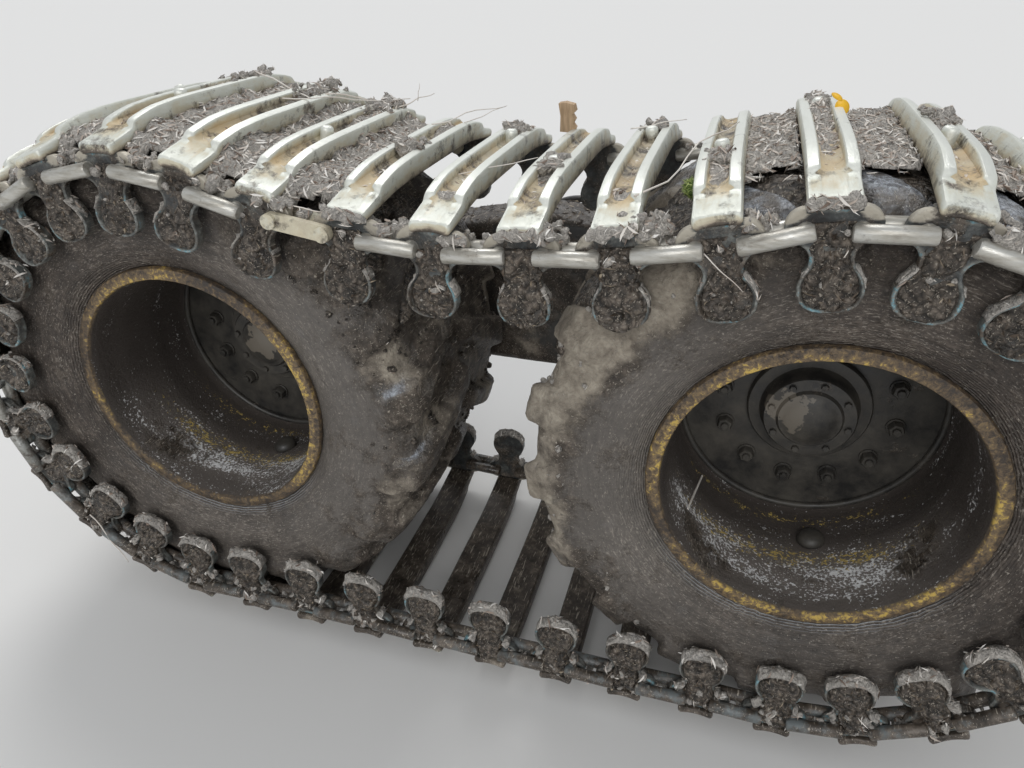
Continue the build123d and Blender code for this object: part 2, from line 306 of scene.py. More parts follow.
wet = wire(mud_tree, "ShaderNodeMapRange", {
    "Value": dry_share.outputs[0], "From Min": 0.60, "From Max": 1.05, "To Min": 0.20, "To Max": 0.80,
})
mud_tree.links.new(strawy.outputs[2], out.inputs["Colour"])
mud_tree.links.new(wet.outputs[0], out.inputs["Roughness"])
relief = wire(mud_tree, "ShaderNodeMath", {
    0: fibres.outputs[0], 1: 0.25, 2: body.outputs[0],
}, operation="MULTIPLY_ADD")
relief = wire(mud_tree, "ShaderNodeMath", {0: dry_mask.outputs[0], 1: 0.22, 2: relief.outputs[0]},
              operation="MULTIPLY_ADD")
mud_tree.links.new(relief.outputs[0], out.inputs["Height"])

# Smear group: lays that mud over another surface where a noise passes the wanted amount
smear_tree, given, out = new_tree(
    "mud smeared over", "ShaderNodeTree",
    {"Colour": ("Color", (0.5, 0.5, 0.5, 1)), "Roughness": ("Float", 0.5), "Amount": ("Float", 0.5),
     "Scale": ("Float", 1.0), "Dryness": ("Float", 0.3), "Patch Size": ("Float", 9.0)},
    {"Colour": ("Color", None), "Roughness": ("Float", None), "Height": ("Float", None),
     "Bare": ("Float", None)},
)
mud = wire(smear_tree, "ShaderNodeGroup", {}, node_tree=mud_tree)
for label in ("Scale", "Dryness"):
    smear_tree.links.new(given.outputs[label], mud.inputs[label])
edge = wire(smear_tree, "ShaderNodeTexNoise", {
    "Vector": wire(smear_tree, "ShaderNodeTexCoord").outputs["Object"],
    "Scale": given.outputs["Patch Size"], "Detail": 6, "Roughness": 0.7,
})
reach = wire(smear_tree, "ShaderNodeMath", {0: edge.outputs["Fac"], 1: given.outputs["Amount"]}, operation="ADD")
cover = wire(smear_tree, "ShaderNodeMapRange", {
    "Value": reach.outputs[0], "From Min": 0.93, "From Max": 1.07,
})
tint = wire(smear_tree, "ShaderNodeMix", {
    "Factor": cover.outputs[0], 6: given.outputs["Colour"], 7: mud.outputs["Colour"],
}, data_type="RGBA")
gloss = wire(smear_tree, "ShaderNodeMix", {
    "Factor": cover.outputs[0], "A": given.outputs["Roughness"], "B": mud.outputs["Roughness"],
})
thick = wire(smear_tree, "ShaderNodeMath", {0: cover.outputs[0], 1: mud.outputs["Height"]}, operation="MULTIPLY")
bare = wire(smear_tree, "ShaderNodeMath", {0: 1.0, 1: cover.outputs[0]}, operation="SUBTRACT")
for socket, label in ((tint.outputs[2], "Colour"), (gloss.outputs[0], "Roughness"),
                      (thick.outputs[0], "Height"), (bare.outputs[0], "Bare")):
    smear_tree.links.new(socket, out.inputs[label])


def smeared(tree, shader, amount, colour, roughness, scale=1.0, dryness=0.3, patch=9.0, depth=0.004,
            height=None):
    """Puts the smear group in a material, between its own surface and its shader."""
    group = wire(tree, "ShaderNodeGroup", {}, node_tree=smear_tree)
    for label, value in (("Amount", amount), ("Colour", colour), ("Roughness", roughness),
                         ("Scale", scale), ("Dryness", dryness), ("Patch Size", patch)):
        if isinstance(value, bpy.types.NodeSocket):
            tree.links.new(value, group.inputs[label])
        else:
            group.inputs[label].default_value = value
    tall = group.outputs["Height"]
    if height is not None:
        tall = wire(tree, "ShaderNodeMath", {0: tall, 1: height}, operation="ADD").outputs[0]
    bump = wire(tree, "ShaderNodeBump", {"Height": tall, "Strength": 0.9, "Distance": depth})
    tree.links.new(group.outputs["Colour"], shader.inputs["Base Color"])
    tree.links.new(group.outputs["Roughness"], shader.inputs["Roughness"])
    tree.links.new(bump.outputs[0], shader.inputs["Normal"])
    return group


rubber, tree, shader = paint_with("muddy tyre rubber", Specular_IOR_Level=0.5, Coat_Roughness=0.13, Coat_IOR=1.9)
radial, caked, dry, wet_and_sheen, turn_x, turn_z = (
    wire(tree, "ShaderNodeAttribute", attribute_name=name).outputs["Fac"]
    for name in ("radial", "mud", "dry", "wet", "turn_x", "turn_z")
)
tyre_place = wire(tree, "ShaderNodeTexCoord").outputs["Object"]
lines = wire(tree, "ShaderNodeMath", {
    0: wire(tree, "ShaderNodeMath", {0: radial, 1: 1250.0}, operation="MULTIPLY").outputs[0],
}, operation="SINE")
near_bead = wire(tree, "ShaderNodeMapRange", {
    "Value": radial, "From Min": 0.375, "From Max": 0.435, "To Min": 0.10, "To Max": 0.0,
})
ribs = wire(tree, "ShaderNodeMath", {0: lines.outputs[0], 1: near_bead.outputs[0]}, operation="MULTIPLY")
film = wire(tree, "ShaderNodeTexNoise", {"Vector": tyre_place, "Scale": 5.0, "Detail": 7, "Roughness": 0.7})
dragged = wire(tree, "ShaderNodeTexNoise", {
    "Vector": wire(tree, "ShaderNodeCombineXYZ", {
        "X": wire(tree, "ShaderNodeMath", {0: radial, 1: 46.0}, operation="MULTIPLY").outputs[0],
        "Y": wire(tree, "ShaderNodeMath", {0: turn_x, 1: 3.2}, operation="MULTIPLY").outputs[0],
        "Z": wire(tree, "ShaderNodeMath", {0: turn_z, 1: 3.2}, operation="MULTIPLY").outputs[0],
    }).outputs[0],
    "Scale": 1.6, "Detail": 7, "Roughness": 0.72,
})
specks = wire(tree, "ShaderNodeTexNoise", {"Vector": tyre_place, "Scale": 190, "Detail": 2, "Roughness": 0.6})
sandy = wire(tree, "ShaderNodeTexNoise", {"Vector": tyre_place, "Scale": 85, "Detail": 6, "Roughness": 0.75})
streaks = wire(tree, "ShaderNodeMath", {0: film.outputs["Fac"], 1: dragged.outputs["Fac"]}, operation="ADD")
both = wire(tree, "ShaderNodeMath", {
    0: wire(tree, "ShaderNodeMath", {0: sandy.outputs["Fac"], 1: 0.9, 2: streaks.outputs[0]},
            operation="MULTIPLY_ADD").outputs[0],
    1: 0.345,
}, operation="MULTIPLY")
skin = wire(tree, "ShaderNodeValToRGB", {"Fac": both.outputs[0]})
skin.color_ramp.elements[0].position = 0.38
skin.color_ramp.elements[0].color = (0.026, 0.021, 0.018, 1)
skin.color_ramp.elements[1].position = 0.66
skin.color_ramp.elements[1].color = (0.205, 0.168, 0.137, 1)
skin.color_ramp.elements.new(0.50).color = (0.062, 0.049, 0.040, 1)
# Pale specks and scratches: the specks are partly grit and partly painted glints of wet mud; the scratches are dust
# streaks.
grit_and_glint_specks = wire(tree, "ShaderNodeMapRange", {
    "Value": specks.outputs["Fac"], "From Min": 0.64, "From Max": 0.70, "To Max": 0.8,
})
dusty = wire(tree, "ShaderNodeMix", {
    "Factor": wire(tree, "ShaderNodeMath", {
        0: wire(tree, "ShaderNodeAttribute", attribute_name="dust").outputs["Fac"], 1: both.outputs[0],
    }, operation="MULTIPLY").outputs[0],
    6: skin.outputs["Color"], 7: (0.205, 0.188, 0.168, 1),
}, data_type="RGBA")
scratches = wire(tree, "ShaderNodeTexNoise", {
    "Vector": wire(tree, "ShaderNodeCombineXYZ", {
        "X": wire(tree, "ShaderNodeMath", {0: radial, 1: 330.0}, operation="MULTIPLY").outputs[0],
        "Y": wire(tree, "ShaderNodeMath", {0: turn_x, 1: 34.0}, operation="MULTIPLY").outputs[0],
        "Z": wire(tree, "ShaderNodeMath", {0: turn_z, 1: 34.0}, operation="MULTIPLY").outputs[0],
    }).outputs[0],
    "Scale": 1.0, "Detail": 4, "Roughness": 0.65,
})
scratched = wire(tree, "ShaderNodeMapRange", {
    "Value": wire(tree, "ShaderNodeMath", {0: film.outputs["Fac"], 1: 0.35, 2: scratches.outputs["Fac"]},
                  operation="MULTIPLY_ADD").outputs[0],
    "From Min": 0.74, "From Max": 0.86, "To Max": 0.75,
})
flecked = wire(tree, "ShaderNodeMix", {
    "Factor": wire(tree, "ShaderNodeMath", {0: grit_and_glint_specks.outputs[0], 1: scratched.outputs[0]},
                   operation="MAXIMUM").outputs[0],
    6: dusty.outputs[2], 7: (0.38, 0.34, 0.29, 1),
}, data_type="RGBA")
# Painted highlights: thin pale blue-grey rings just outside the bead, on the lower part of the tyre, stand in for
# glints of light on the ridged rubber.
painted_bead_glints = wire(tree, "ShaderNodeMath", {
    0: wire(tree, "ShaderNodeMapRange", {"Value": lines.outputs[0], "From Min": 0.55, "From Max": 0.95}).outputs[0],
    1: wire(tree, "ShaderNodeMath", {
        0: wire(tree, "ShaderNodeMapRange", {"Value": radial, "From Min": 0.375, "From Max": 0.392, "To Min": 1.0, "To Max": 0.0}).outputs[0],
        1: wire(tree, "ShaderNodeMapRange", {"Value": turn_z, "From Min": -0.45, "From Max": -0.85, "To Max": 0.8}).outputs[0],
    }, operation="MULTIPLY").outputs[0],
}, operation="MULTIPLY")
skin_with_painted_glints = wire(tree, "ShaderNodeMix", {
    "Factor": painted_bead_glints.outputs[0], 6: flecked.outputs[2], 7: (0.42, 0.45, 0.48, 1),
}, data_type="RGBA")
film_depth = wire(tree, "ShaderNodeMath", {
    0: both.outputs[0], 1: 1.6, 2: wire(tree, "ShaderNodeMath", {
        0: grit_and_glint_specks.outputs[0], 1: 0.10, 2: ribs.outputs[0],
    }, operation="MULTIPLY_ADD").outputs[0],
}, operation="MULTIPLY_ADD")
sheen = wire(tree, "ShaderNodeMapRange", {
    "Value": both.outputs[0], "From Min": 0.38, "From Max": 0.66, "To Min": 0.26, "To Max": 0.62,
})
laid = smeared(tree, shader, caked, skin_with_painted_glints.outputs[2], sheen.outputs[0], 1.0, dry, 10.0, 0.010,
               film_depth.outputs[0])
# Painted reflection: where the wet number and the pools noise run high, the base colour turns a pale blue-grey flecked
# with painted glints, standing in for the sky mirrored in wet rubber; the coat gives the real gloss.
pools = wire(tree, "ShaderNodeTexNoise", {"Vector": tyre_place, "Scale": 13, "Detail": 5})
shiny = wire(tree, "ShaderNodeMapRange", {
    "Value": wire(tree, "ShaderNodeMath", {0: pools.outputs["Fac"], 1: wet_and_sheen}, operation="ADD").outputs[0],
    "From Min": 0.95, "From Max": 1.20,
})
painted_sky_reflection_mask = wire(tree, "ShaderNodeMapRange", {
    "Value": wire(tree, "ShaderNodeMath", {0: pools.outputs["Fac"], 1: wet_and_sheen}, operation="ADD").outputs[0],
    "From Min": 1.20, "From Max": 1.36, "To Max": 0.90,
})
glints = wire(tree, "ShaderNodeMapRange", {"Value": sandy.outputs["Fac"], "From Min": 0.42, "From Max": 0.62})
painted_sky_reflection_tone = wire(tree, "ShaderNodeMix", {
    "Factor": glints.outputs[0], 6: (0.14, 0.15, 0.175, 1), 7: (0.68, 0.74, 0.82, 1),
}, data_type="RGBA")
tree.links.new(wire(tree, "ShaderNodeMix", {
    "Factor": painted_sky_reflection_mask.outputs[0], 6: laid.outputs["Colour"], 7: painted_sky_reflection_tone.outputs[2],
}, data_type="RGBA").outputs[2], shader.inputs["Base Color"])
tree.links.new(shiny.outputs[0], shader.inputs["Coat Weight"])
tree.links.new(shader.inputs["Normal"].links[0].from_socket, shader.inputs["Coat Normal"])


def thinned(piece, share):
    """Merges faces that lie nearly in one plane, until a share of them is left."""
    fewer = piece.modifiers.new("fewer", "DECIMATE")
    fewer.ratio = share
    bpy.context.view_layer.update()
    result = bpy.data.meshes.new_from_object(piece.evaluated_get(bpy.context.evaluated_depsgraph_get()))
    piece.modifiers.clear()
    piece.data = result
    piece.data.shade_smooth()
    return piece


def lug_piece(side):
    """One lug as a closed block drawn about the axle; side -1 is outboard, 1 inboard."""
    points = []
    for degrees, y, top, width in lug_run:
        a = math.radians(degrees)
        foot = max(0.50, top - 0.062)
        for radius, half in ((top, width / 2 - 0.005), (foot, width / 2 + 0.012)):
            inward = 0 if radius == top else 0.030
            for way in (-1, 1):
                turn = a + way * half / radius
                points.append((radius * math.cos(turn), side * (y - inward), radius * math.sin(turn)))
    faces = [(0, 1, 3, 2)]
    for k in range(len(lug_run) - 1):
        a, b = k * 4, k * 4 + 4
        faces += [(a, b, b + 1, a + 1), (a + 1, b + 1, b + 3, a + 3), (a + 3, b + 3, b + 2, a + 2),
                  (a + 2, b + 2, b, a)]
    last = (len(lug_run) - 1) * 4
    faces.append((last, last + 2, last + 3, last + 1))
    return points, faces


def recalculated(piece, merge=None):
    """Merges doubled points and turns all faces outwards."""
    bm = bmesh.new()
    bm.from_mesh(piece.data)
    if merge:
        bmesh.ops.remove_doubles(bm, verts=bm.verts, dist=merge)
    bmesh.ops.recalc_face_normals(bm, faces=bm.faces)
    bm.to_mesh(piece.data)
    bm.free()
    return piece


def joined(name, pieces):
    """One object from several, in the order given."""
    with bpy.context.temp_override(
        active_object=pieces[0], object=pieces[0], selected_objects=pieces,
        selected_editable_objects=pieces,
    ):
        bpy.ops.object.join()
    pieces[0].name = name
    return pieces[0]


def numbers(mesh, name, values):
    """Stores one number for each point, for the material to read."""
    made = mesh.attributes.new(name, "FLOAT", "POINT")
    made.data.foreach_set("value", np.asarray(values, np.float32))


def points_of(mesh):
    co = np.empty(len(mesh.vertices) * 3, np.float32)
    mesh.vertices.foreach_get("co", co)
    return co.reshape(-1, 3).astype(float)


# Caked tree: pushes a surface out in lumps where its mud number is high
caked_tree, given, out = new_tree(
    "caked mud", "GeometryNodeTree",
    {"Geometry": ("Geometry", None), "Lump Depth": ("Float", 0.01), "Grain Depth": ("Float", 0.002),
     "Lump Size": ("Float", 14.0), "Finish": ("Material", None)},
    {"Geometry": ("Geometry", None)},
)
amount = wire(caked_tree, "GeometryNodeInputNamedAttribute", {"Name": "mud"}, data_type="FLOAT")
lump = wire(caked_tree, "ShaderNodeTexNoise", {"Scale": given.outputs["Lump Size"], "Detail": 3})
grain = wire(caked_tree, "ShaderNodeTexNoise", {"Scale": 75.0, "Detail": 4, "Roughness": 0.7})
push = wire(caked_tree, "ShaderNodeMath", {
    0: wire(caked_tree, "ShaderNodeMath", {0: lump.outputs["Fac"], 1: 0.42}, operation="SUBTRACT").outputs[0],
    1: given.outputs["Lump Depth"],
}, operation="MULTIPLY")
pushed = wire(caked_tree, "ShaderNodeMath", {0: push.outputs[0], 1: amount.outputs[0]}, operation="MULTIPLY")
fine = wire(caked_tree, "ShaderNodeMath", {
    0: wire(caked_tree, "ShaderNodeMath", {0: grain.outputs["Fac"], 1: 0.5}, operation="SUBTRACT").outputs[0],
    1: given.outputs["Grain Depth"], 2: pushed.outputs[0],
}, operation="MULTIPLY_ADD")
outward = wire(caked_tree, "ShaderNodeVectorMath", {
    0: wire(caked_tree, "GeometryNodeInputNormal").outputs[0], 3: fine.outputs[0],
}, operation="SCALE")
moved = wire(caked_tree, "GeometryNodeSetPosition", {
    "Geometry": given.outputs["Geometry"], "Offset": outward.outputs[0],
})
finished = wire(caked_tree, "GeometryNodeSetMaterial", {
    "Geometry": moved.outputs[0], "Material": given.outputs["Finish"],
})
caked_tree.links.new(finished.outputs[0], out.inputs[0])

carcass_profile = [(r, -y) for r, y in carcass_half] + [(0.625, 0.0)] + [(r, y) for r, y in carcass_half[::-1]]
for end, x in WHEELS.items():
    axle = Vector((x, wheel_y, axle_z))
    carcass = mesh_piece("carcass", *turned(carcass_profile, 160))
    carcass.data.transform(Matrix.Translation(axle))
    rings = []
    for side, start in ((-1, 0.0), (1, math.pi / lugs_a_side)):
        ring = nodes_made(mesh_piece("lugs", *lug_piece(side)), ring_tree, {
            "Count": lugs_a_side, "Start": start, "Axle": axle,
        })
        rings.append(recalculated(ring))
    tyre = joined(f"tyre_{end}_rubber", [recalculated(carcass)] + rings)
    remesh = tyre.modifiers.new("remesh", "REMESH")
    remesh.mode = "VOXEL"
    remesh.voxel_size = tyre_grain
    soften = tyre.modifiers.new("soften", "SMOOTH")
    soften.factor = 0.5
    soften.iterations = 1
    bpy.context.view_layer.update()
    whole = bpy.data.meshes.new_from_object(tyre.evaluated_get(bpy.context.evaluated_depsgraph_get()))
    tyre.modifiers.clear()
    tyre.data = whole
    away = points_of(whole) - np.array(axle)
    distance = np.hypot(away[:, 0], away[:, 2])
    bearing = np.degrees(np.arctan2(away[:, 2], -away[:, 0] * np.sign(x)))
    shoulder = np.clip((distance - 0.47) / 0.12, 0, 1)
    tread = np.clip((distance - 0.60) / 0.02, 0, 1)
    facing = np.clip((75 - np.abs(bearing - 8)) / 45, 0, 1)
    crusted = np.exp(-((bearing - 38) / 26) ** 2 - ((distance - 0.575) / 0.085) ** 2)
    numbers(whole, "radial", distance)
    numbers(whole, "turn_x", away[:, 0] / distance)
    numbers(whole, "turn_z", away[:, 2] / distance)
    crown = tread * np.clip((away[:, 2] - 0.47) / 0.09, 0, 1)
    if end == "front":
        numbers(whole, "mud", 0.36 + 0.12 * shoulder + 0.02 * tread + 0.16 * facing * shoulder + 0.22 * crusted)
        numbers(whole, "dry", 0.20 + 0.32 * facing * shoulder + 0.34 * crusted)
        noses = 0
    else:
        tan_patch = np.exp(-(np.linalg.norm(points_of(whole) - np.array((-0.175, -0.545, 0.915)), axis=1) / 0.035) ** 2)
        numbers(whole, "mud", 0.36 + 0.10 * shoulder + 0.02 * tread + 0.13 * facing * shoulder + 0.2 * tan_patch)
        numbers(whole, "dry", 0.22 + 0.18 * facing * shoulder + 0.6 * tan_patch)
        facing_up = np.empty(len(away) * 3, np.float32)
        whole.vertices.foreach_get("normal", facing_up)
        noses = np.exp(-((bearing - 3) / 22) ** 2 - ((distance - 0.605) / 0.038) ** 2) * (away[:, 1] < -0.22)
        noses *= np.clip((facing_up.reshape(-1, 3)[:, 2] - 0.12) / 0.22, 0, 1)
    # The wet number gives the rubber a real wet coat and, where highest, the painted sky reflection; it is raised on
    # the top of the tread and, on the rear tyre, on lug noses only where they face up, which puts painted highlights
    # where light would fall.
    numbers(whole, "wet", 0.34 + (0.46 if end == "front" else 0.30) * crown + 0.58 * noses)
    numbers(whole, "dust", 0.95 * facing + 0.55 * np.clip((-away[:, 2] - 0.15) / 0.3, 0, 1))
    nodes_made(tyre, caked_tree, {"Lump Depth": 0.018, "Grain Depth": 0.0055, "Finish": rubber})
    thinned(tyre, 0.245)
    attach(tyre, f"wheel_{end}")
    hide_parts(f"tyre_{end}")

# Rims and discs. Each rim is rolled steel, painted yellow and worn to brown primer on the flange that
# the bead sits against; the disc is welded deep inside it and both are black with oily mud.
flange_lip = (
    (0.3315, -0.324), (0.3330, -0.3255), (0.3400, -0.3262), (0.3520, -0.3258), (0.3590, -0.3230),
    (0.3622, -0.3170), (0.3618, -0.3090), (0.3570, -0.3055), (0.3450, -0.3050), (0.3380, -0.3000),
)
barrel_inside = (
    (0.3290, 0.318), (0.3262, 0.300), (0.3262, 0.110), (0.3200, 0.097), (0.3200, 0.067),
    (0.3262, 0.058), (0.3262, 0.030), (0.3262, 0.005), (0.3262, -0.020), (0.3262, -0.060), (0.3235, -0.075),
    (0.3235, -0.105), (0.3235, -0.130), (0.3235, -0.155), (0.3235, -0.185), (0.3235, -0.215), (0.3262, -0.235),
    (0.3262, -0.262), (0.3262, -0.290), (0.3285, -0.315),
)

flange_paint, tree, shader = paint_with("worn yellow rim paint", Specular_IOR_Level=0.5)
body_place = wire(tree, "ShaderNodeTexCoord").outputs["Object"]
scuffs = wire(tree, "ShaderNodeTexNoise", {
    "Vector": body_place, "Scale": 88, "Detail": 7, "Roughness": 0.74, "Distortion": 0.5,
})
stains = wire(tree, "ShaderNodeTexNoise", {
    "Vector": body_place, "Scale": 5.5, "Detail": 5, "Roughness": 0.6,
})
mixed = wire(tree, "ShaderNodeMath", {
    0: stains.outputs["Fac"], 1: 0.80, 2: scuffs.outputs["Fac"],
}, operation="MULTIPLY_ADD")
kept_paint = wire(tree, "ShaderNodeMath", {
    0: wire(tree, "ShaderNodeAttribute", attribute_name="inner_lip").outputs["Fac"], 1: 0.085, 2: mixed.outputs[0],
}, operation="MULTIPLY_ADD")
paint = wire(tree, "ShaderNodeValToRGB", {
    "Fac": wire(tree, "ShaderNodeMath", {0: kept_paint.outputs[0], 1: 0.868}, operation="MULTIPLY").outputs[0],
})
paint.color_ramp.elements[0].position = 0.63
paint.color_ramp.elements[0].color = (0.040, 0.031, 0.024, 1)
paint.color_ramp.elements[1].position = 0.97
paint.color_ramp.elements[1].color = (0.58, 0.40, 0.095, 1)
for place, colour in ((0.73, (0.092, 0.064, 0.040, 1)), (0.80, (0.160, 0.112, 0.062, 1)),
                      (0.868, (0.25, 0.170, 0.078, 1)), (0.895, (0.47, 0.33, 0.085, 1))):
    paint.color_ramp.elements.new(place).color = colour
lip = wire(tree, "ShaderNodeAttribute", attribute_name="lip").outputs["Fac"]
low = wire(tree, "ShaderNodeAttribute", attribute_name="low").outputs["Fac"]
chips = wire(tree, "ShaderNodeTexNoise", {
    "Vector": wire(tree, "ShaderNodeMapping", {"Vector": body_place, "Scale": (70, 95, 70)}).outputs[0],
    "Scale": 1.0, "Detail": 7, "Roughness": 0.72, "Distortion": 1.0,
})
# Along the bottom of the barrel: a pale film and near-white specks, partly grit and mud and partly painted sheen and
# sparkles of wet mud.
grit_and_sheen_patches = wire(tree, "ShaderNodeTexNoise", {
    "Vector": wire(tree, "ShaderNodeMapping", {"Vector": body_place, "Scale": (6, 16, 6)}).outputs[0],
    "Scale": 1.0, "Detail": 5, "Roughness": 0.6,
})
golden = wire(tree, "ShaderNodeAttribute", attribute_name="gold").outputs["Fac"]
chip_reach = wire(tree, "ShaderNodeMath", {0: golden, 1: 0.185, 2: chips.outputs["Fac"]}, operation="MULTIPLY_ADD")
chipped = wire(tree, "ShaderNodeMapRange", {
    "Value": chip_reach.outputs[0], "From Min": 0.705, "From Max": 0.725,
})
grit_and_sparkle_noise = wire(tree, "ShaderNodeTexNoise", {
    "Vector": body_place, "Scale": 150, "Detail": 3, "Roughness": 0.6,
})
grit_and_sparkle_reach = wire(tree, "ShaderNodeMath", {
    0: low, 1: 0.20, 2: wire(tree, "ShaderNodeMath", {
        0: grit_and_sheen_patches.outputs["Fac"], 1: 0.75, 2: grit_and_sparkle_noise.outputs["Fac"],
    }, operation="MULTIPLY_ADD").outputs[0],
}, operation="MULTIPLY_ADD")
grit_and_painted_sparkles = wire(tree, "ShaderNodeMapRange", {
    "Value": grit_and_sparkle_reach.outputs[0], "From Min": 1.065, "From Max": 1.13, "To Max": 1.0,
})
pale_film_and_sheen = wire(tree, "ShaderNodeMix", {
    "Factor": wire(tree, "ShaderNodeMath", {0: low, 1: grit_and_sheen_patches.outputs["Fac"]}, operation="MULTIPLY").outputs[0],
    6: (0.072, 0.060, 0.052, 1), 7: (0.36, 0.320, 0.285, 1),
}, data_type="RGBA")
black = wire(tree, "ShaderNodeMix", {
    "Factor": grit_and_painted_sparkles.outputs[0], 6: pale_film_and_sheen.outputs[2], 7: (0.84, 0.83, 0.82, 1),
}, data_type="RGBA")
flecked = wire(tree, "ShaderNodeMix", {
    "Factor": chipped.outputs[0], 6: black.outputs[2], 7: (0.62, 0.46, 0.13, 1),
}, data_type="RGBA")
coat = wire(tree, "ShaderNodeMix", {"Factor": lip, 6: flecked.outputs[2], 7: paint.outputs["Color"]},
            data_type="RGBA")
coat_gloss = wire(tree, "ShaderNodeMapRange", {
    "Value": scuffs.outputs["Fac"], "From Min": 0.3, "From Max": 0.7, "To Min": 0.30, "To Max": 0.62,
})
rim_mud = wire(tree, "ShaderNodeMath", {
    0: wire(tree, "ShaderNodeAttribute", attribute_name="mud").outputs["Fac"], 1: 0.31,
}, operation="ADD")
rough_height = wire(tree, "ShaderNodeMath", {
    0: wire(tree, "ShaderNodeMath", {0: grit_and_painted_sparkles.outputs[0], 1: 0.5}, operation="MULTIPLY").outputs[0],
    1: mixed.outputs[0],
}, operation="ADD")
smeared(tree, shader, rim_mud.outputs[0], coat.outputs[2], coat_gloss.outputs[0], 1.3, 0.22, 14.0,
        0.0035, rough_height.outputs[0])

black_paint, tree, shader = paint_with("oily black wheel paint", Specular_IOR_Level=0.5)
spots = wire(tree, "ShaderNodeTexNoise", {
    "Vector": wire(tree, "ShaderNodeTexCoord").outputs["Object"], "Scale": 11, "Detail": 6,
    "Roughness": 0.7,
})
oily = wire(tree, "ShaderNodeValToRGB", {"Fac": spots.outputs["Fac"]})
oily.color_ramp.elements[0].position = 0.35
oily.color_ramp.elements[0].color = (0.022, 0.021, 0.020, 1)
oily.color_ramp.elements[1].position = 0.72
oily.color_ramp.elements[1].color = (0.085, 0.076, 0.062, 1)
oily_gloss = wire(tree, "ShaderNodeMapRange", {
    "Value": spots.outputs["Fac"], "From Min": 0.3, "From Max": 0.7, "To Min": 0.28, "To Max": 0.60,
})
caked_here = wire(tree, "ShaderNodeAttribute", attribute_name="mud").outputs["Fac"]
oily_mud = wire(tree, "ShaderNodeMath", {0: caked_here, 1: 0.31}, operation="ADD")
oily_dry = wire(tree, "ShaderNodeMath", {0: caked_here, 1: 0.62, 2: 0.12}, operation="MULTIPLY_ADD")
laid = smeared(tree, shader, oily_mud.outputs[0], oily.outputs["Color"], oily_gloss.outputs[0], 1.2,
               oily_dry.outputs[0], 8.0, 0.003, spots.outputs["Fac"])
black_place = wire(tree, "ShaderNodeTexCoord").outputs["Object"]
to_patches = [wire(tree, "ShaderNodeVectorMath", {0: wire(tree, "ShaderNodeVectorMath", {
    0: wire(tree, "ShaderNodeVectorMath", {0: black_place, 1: centre}, operation="SUBTRACT").outputs[0], 1: shrink,
}, operation="MULTIPLY").outputs[0]}, operation="LENGTH").outputs[1] for centre, shrink in (
    ((0.7265, -0.2450, 0.760), (15.5, 12.0, 19.0)), ((-0.773, -0.2450, 0.743), (20.0, 12.0, 20.0)),
)]
torn = wire(tree, "ShaderNodeMath", {
    0: wire(tree, "ShaderNodeTexNoise", {"Vector": black_place, "Scale": 26, "Detail": 4, "Roughness": 0.55}).outputs["Fac"],
    1: 2.6, 2: wire(tree, "ShaderNodeMath", {0: to_patches[0], 1: to_patches[1]}, operation="MINIMUM").outputs[0],
}, operation="MULTIPLY_ADD")
on_patch = wire(tree, "ShaderNodeMapRange", {"Value": torn.outputs[0], "From Min": 2.24, "From Max": 2.16})
tree.links.new(wire(tree, "ShaderNodeMix", {
    "Factor": on_patch.outputs[0], 6: laid.outputs["Colour"], 7: (0.155, 0.135, 0.108, 1),
}, data_type="RGBA").outputs[2], shader.inputs["Base Color"])


def turned_piece(name, profile, x, finish, steps=128, closed=True, z=axle_z):
    """A turned piece set on the axle of one wheel."""
    piece = recalculated(mesh_piece(name, *turned(profile, steps, closed)), 0.0002)
    piece.data.transform(Matrix.Translation((x, wheel_y, z)))
    piece.data.set_sharp_from_angle(angle=math.radians(38))
    piece.data.materials.append(finish)
    return piece


rim_profile = (
    [(r, y) for r, y in flange_lip] + [(0.3365, -0.270), (0.3365, 0.270)]
    + [(r, -y) for r, y in flange_lip[::-1]] + list(barrel_inside)
)
disc_profile = (
    (0.1502, 0.071), (0.2450, 0.071), (0.2900, 0.0735), (0.3255, 0.071), (0.3255, 0.093), (0.1502, 0.093),
)
for end, x in WHEELS.items():
    rim = turned_piece(f"rim_{end}_steel", rim_profile, x, flange_paint, 160)
    away = points_of(rim.data) - np.array((x, wheel_y, axle_z))
    radius = np.hypot(away[:, 0], away[:, 2])
    numbers(rim.data, "lip", ((np.abs(away[:, 1]) > 0.3) & (radius > 0.3305)).astype(float))
    bottom = np.clip(-away[:, 2] / radius * 1.6 - 0.25, 0, 1)
    numbers(rim.data, "inner_lip", np.clip((0.3545 - radius) / 0.016, 0, 1) - 0.55)
    turn = np.degrees(np.arctan2(away[:, 2], away[:, 0]))
    numbers(rim.data, "low", bottom * np.exp(-((away[:, 1] + 0.205) / 0.090) ** 2))
    numbers(rim.data, "gold", bottom * (np.exp(-((away[:, 1] + 0.150) / 0.045) ** 2)
                                        + 0.8 * np.exp(-((away[:, 1] - 0.005) / 0.030) ** 2)))
    numbers(rim.data, "mud", 0.05 * bottom + 0.26 * np.exp(-((turn + 132) / 17) ** 2 - ((away[:, 1] + 0.25) / 0.06) ** 2)
            + 0.26 * np.exp(-((turn + 34) / 15) ** 2 - ((away[:, 1] + 0.20) / 0.07) ** 2))
    disc = turned_piece(f"disc_{end}_steel", disc_profile, x, black_paint)
    weld = turned_piece(f"disc_weld_{end}", [
        (0.3262 - 0.008 + 0.009 * math.cos(a), 0.066 + 0.009 * math.sin(a))
        for a in np.arange(10) * math.pi / 5
    ], x, black_paint, 160)
    for piece, node, slot in ((rim, "rim", "rim_paint"), (disc, "wheel_disc", "disc_paint")):
        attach(piece, f"wheel_{end}")
        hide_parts(f"{node}_{end}")
    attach(weld, f"wheel_{end}")

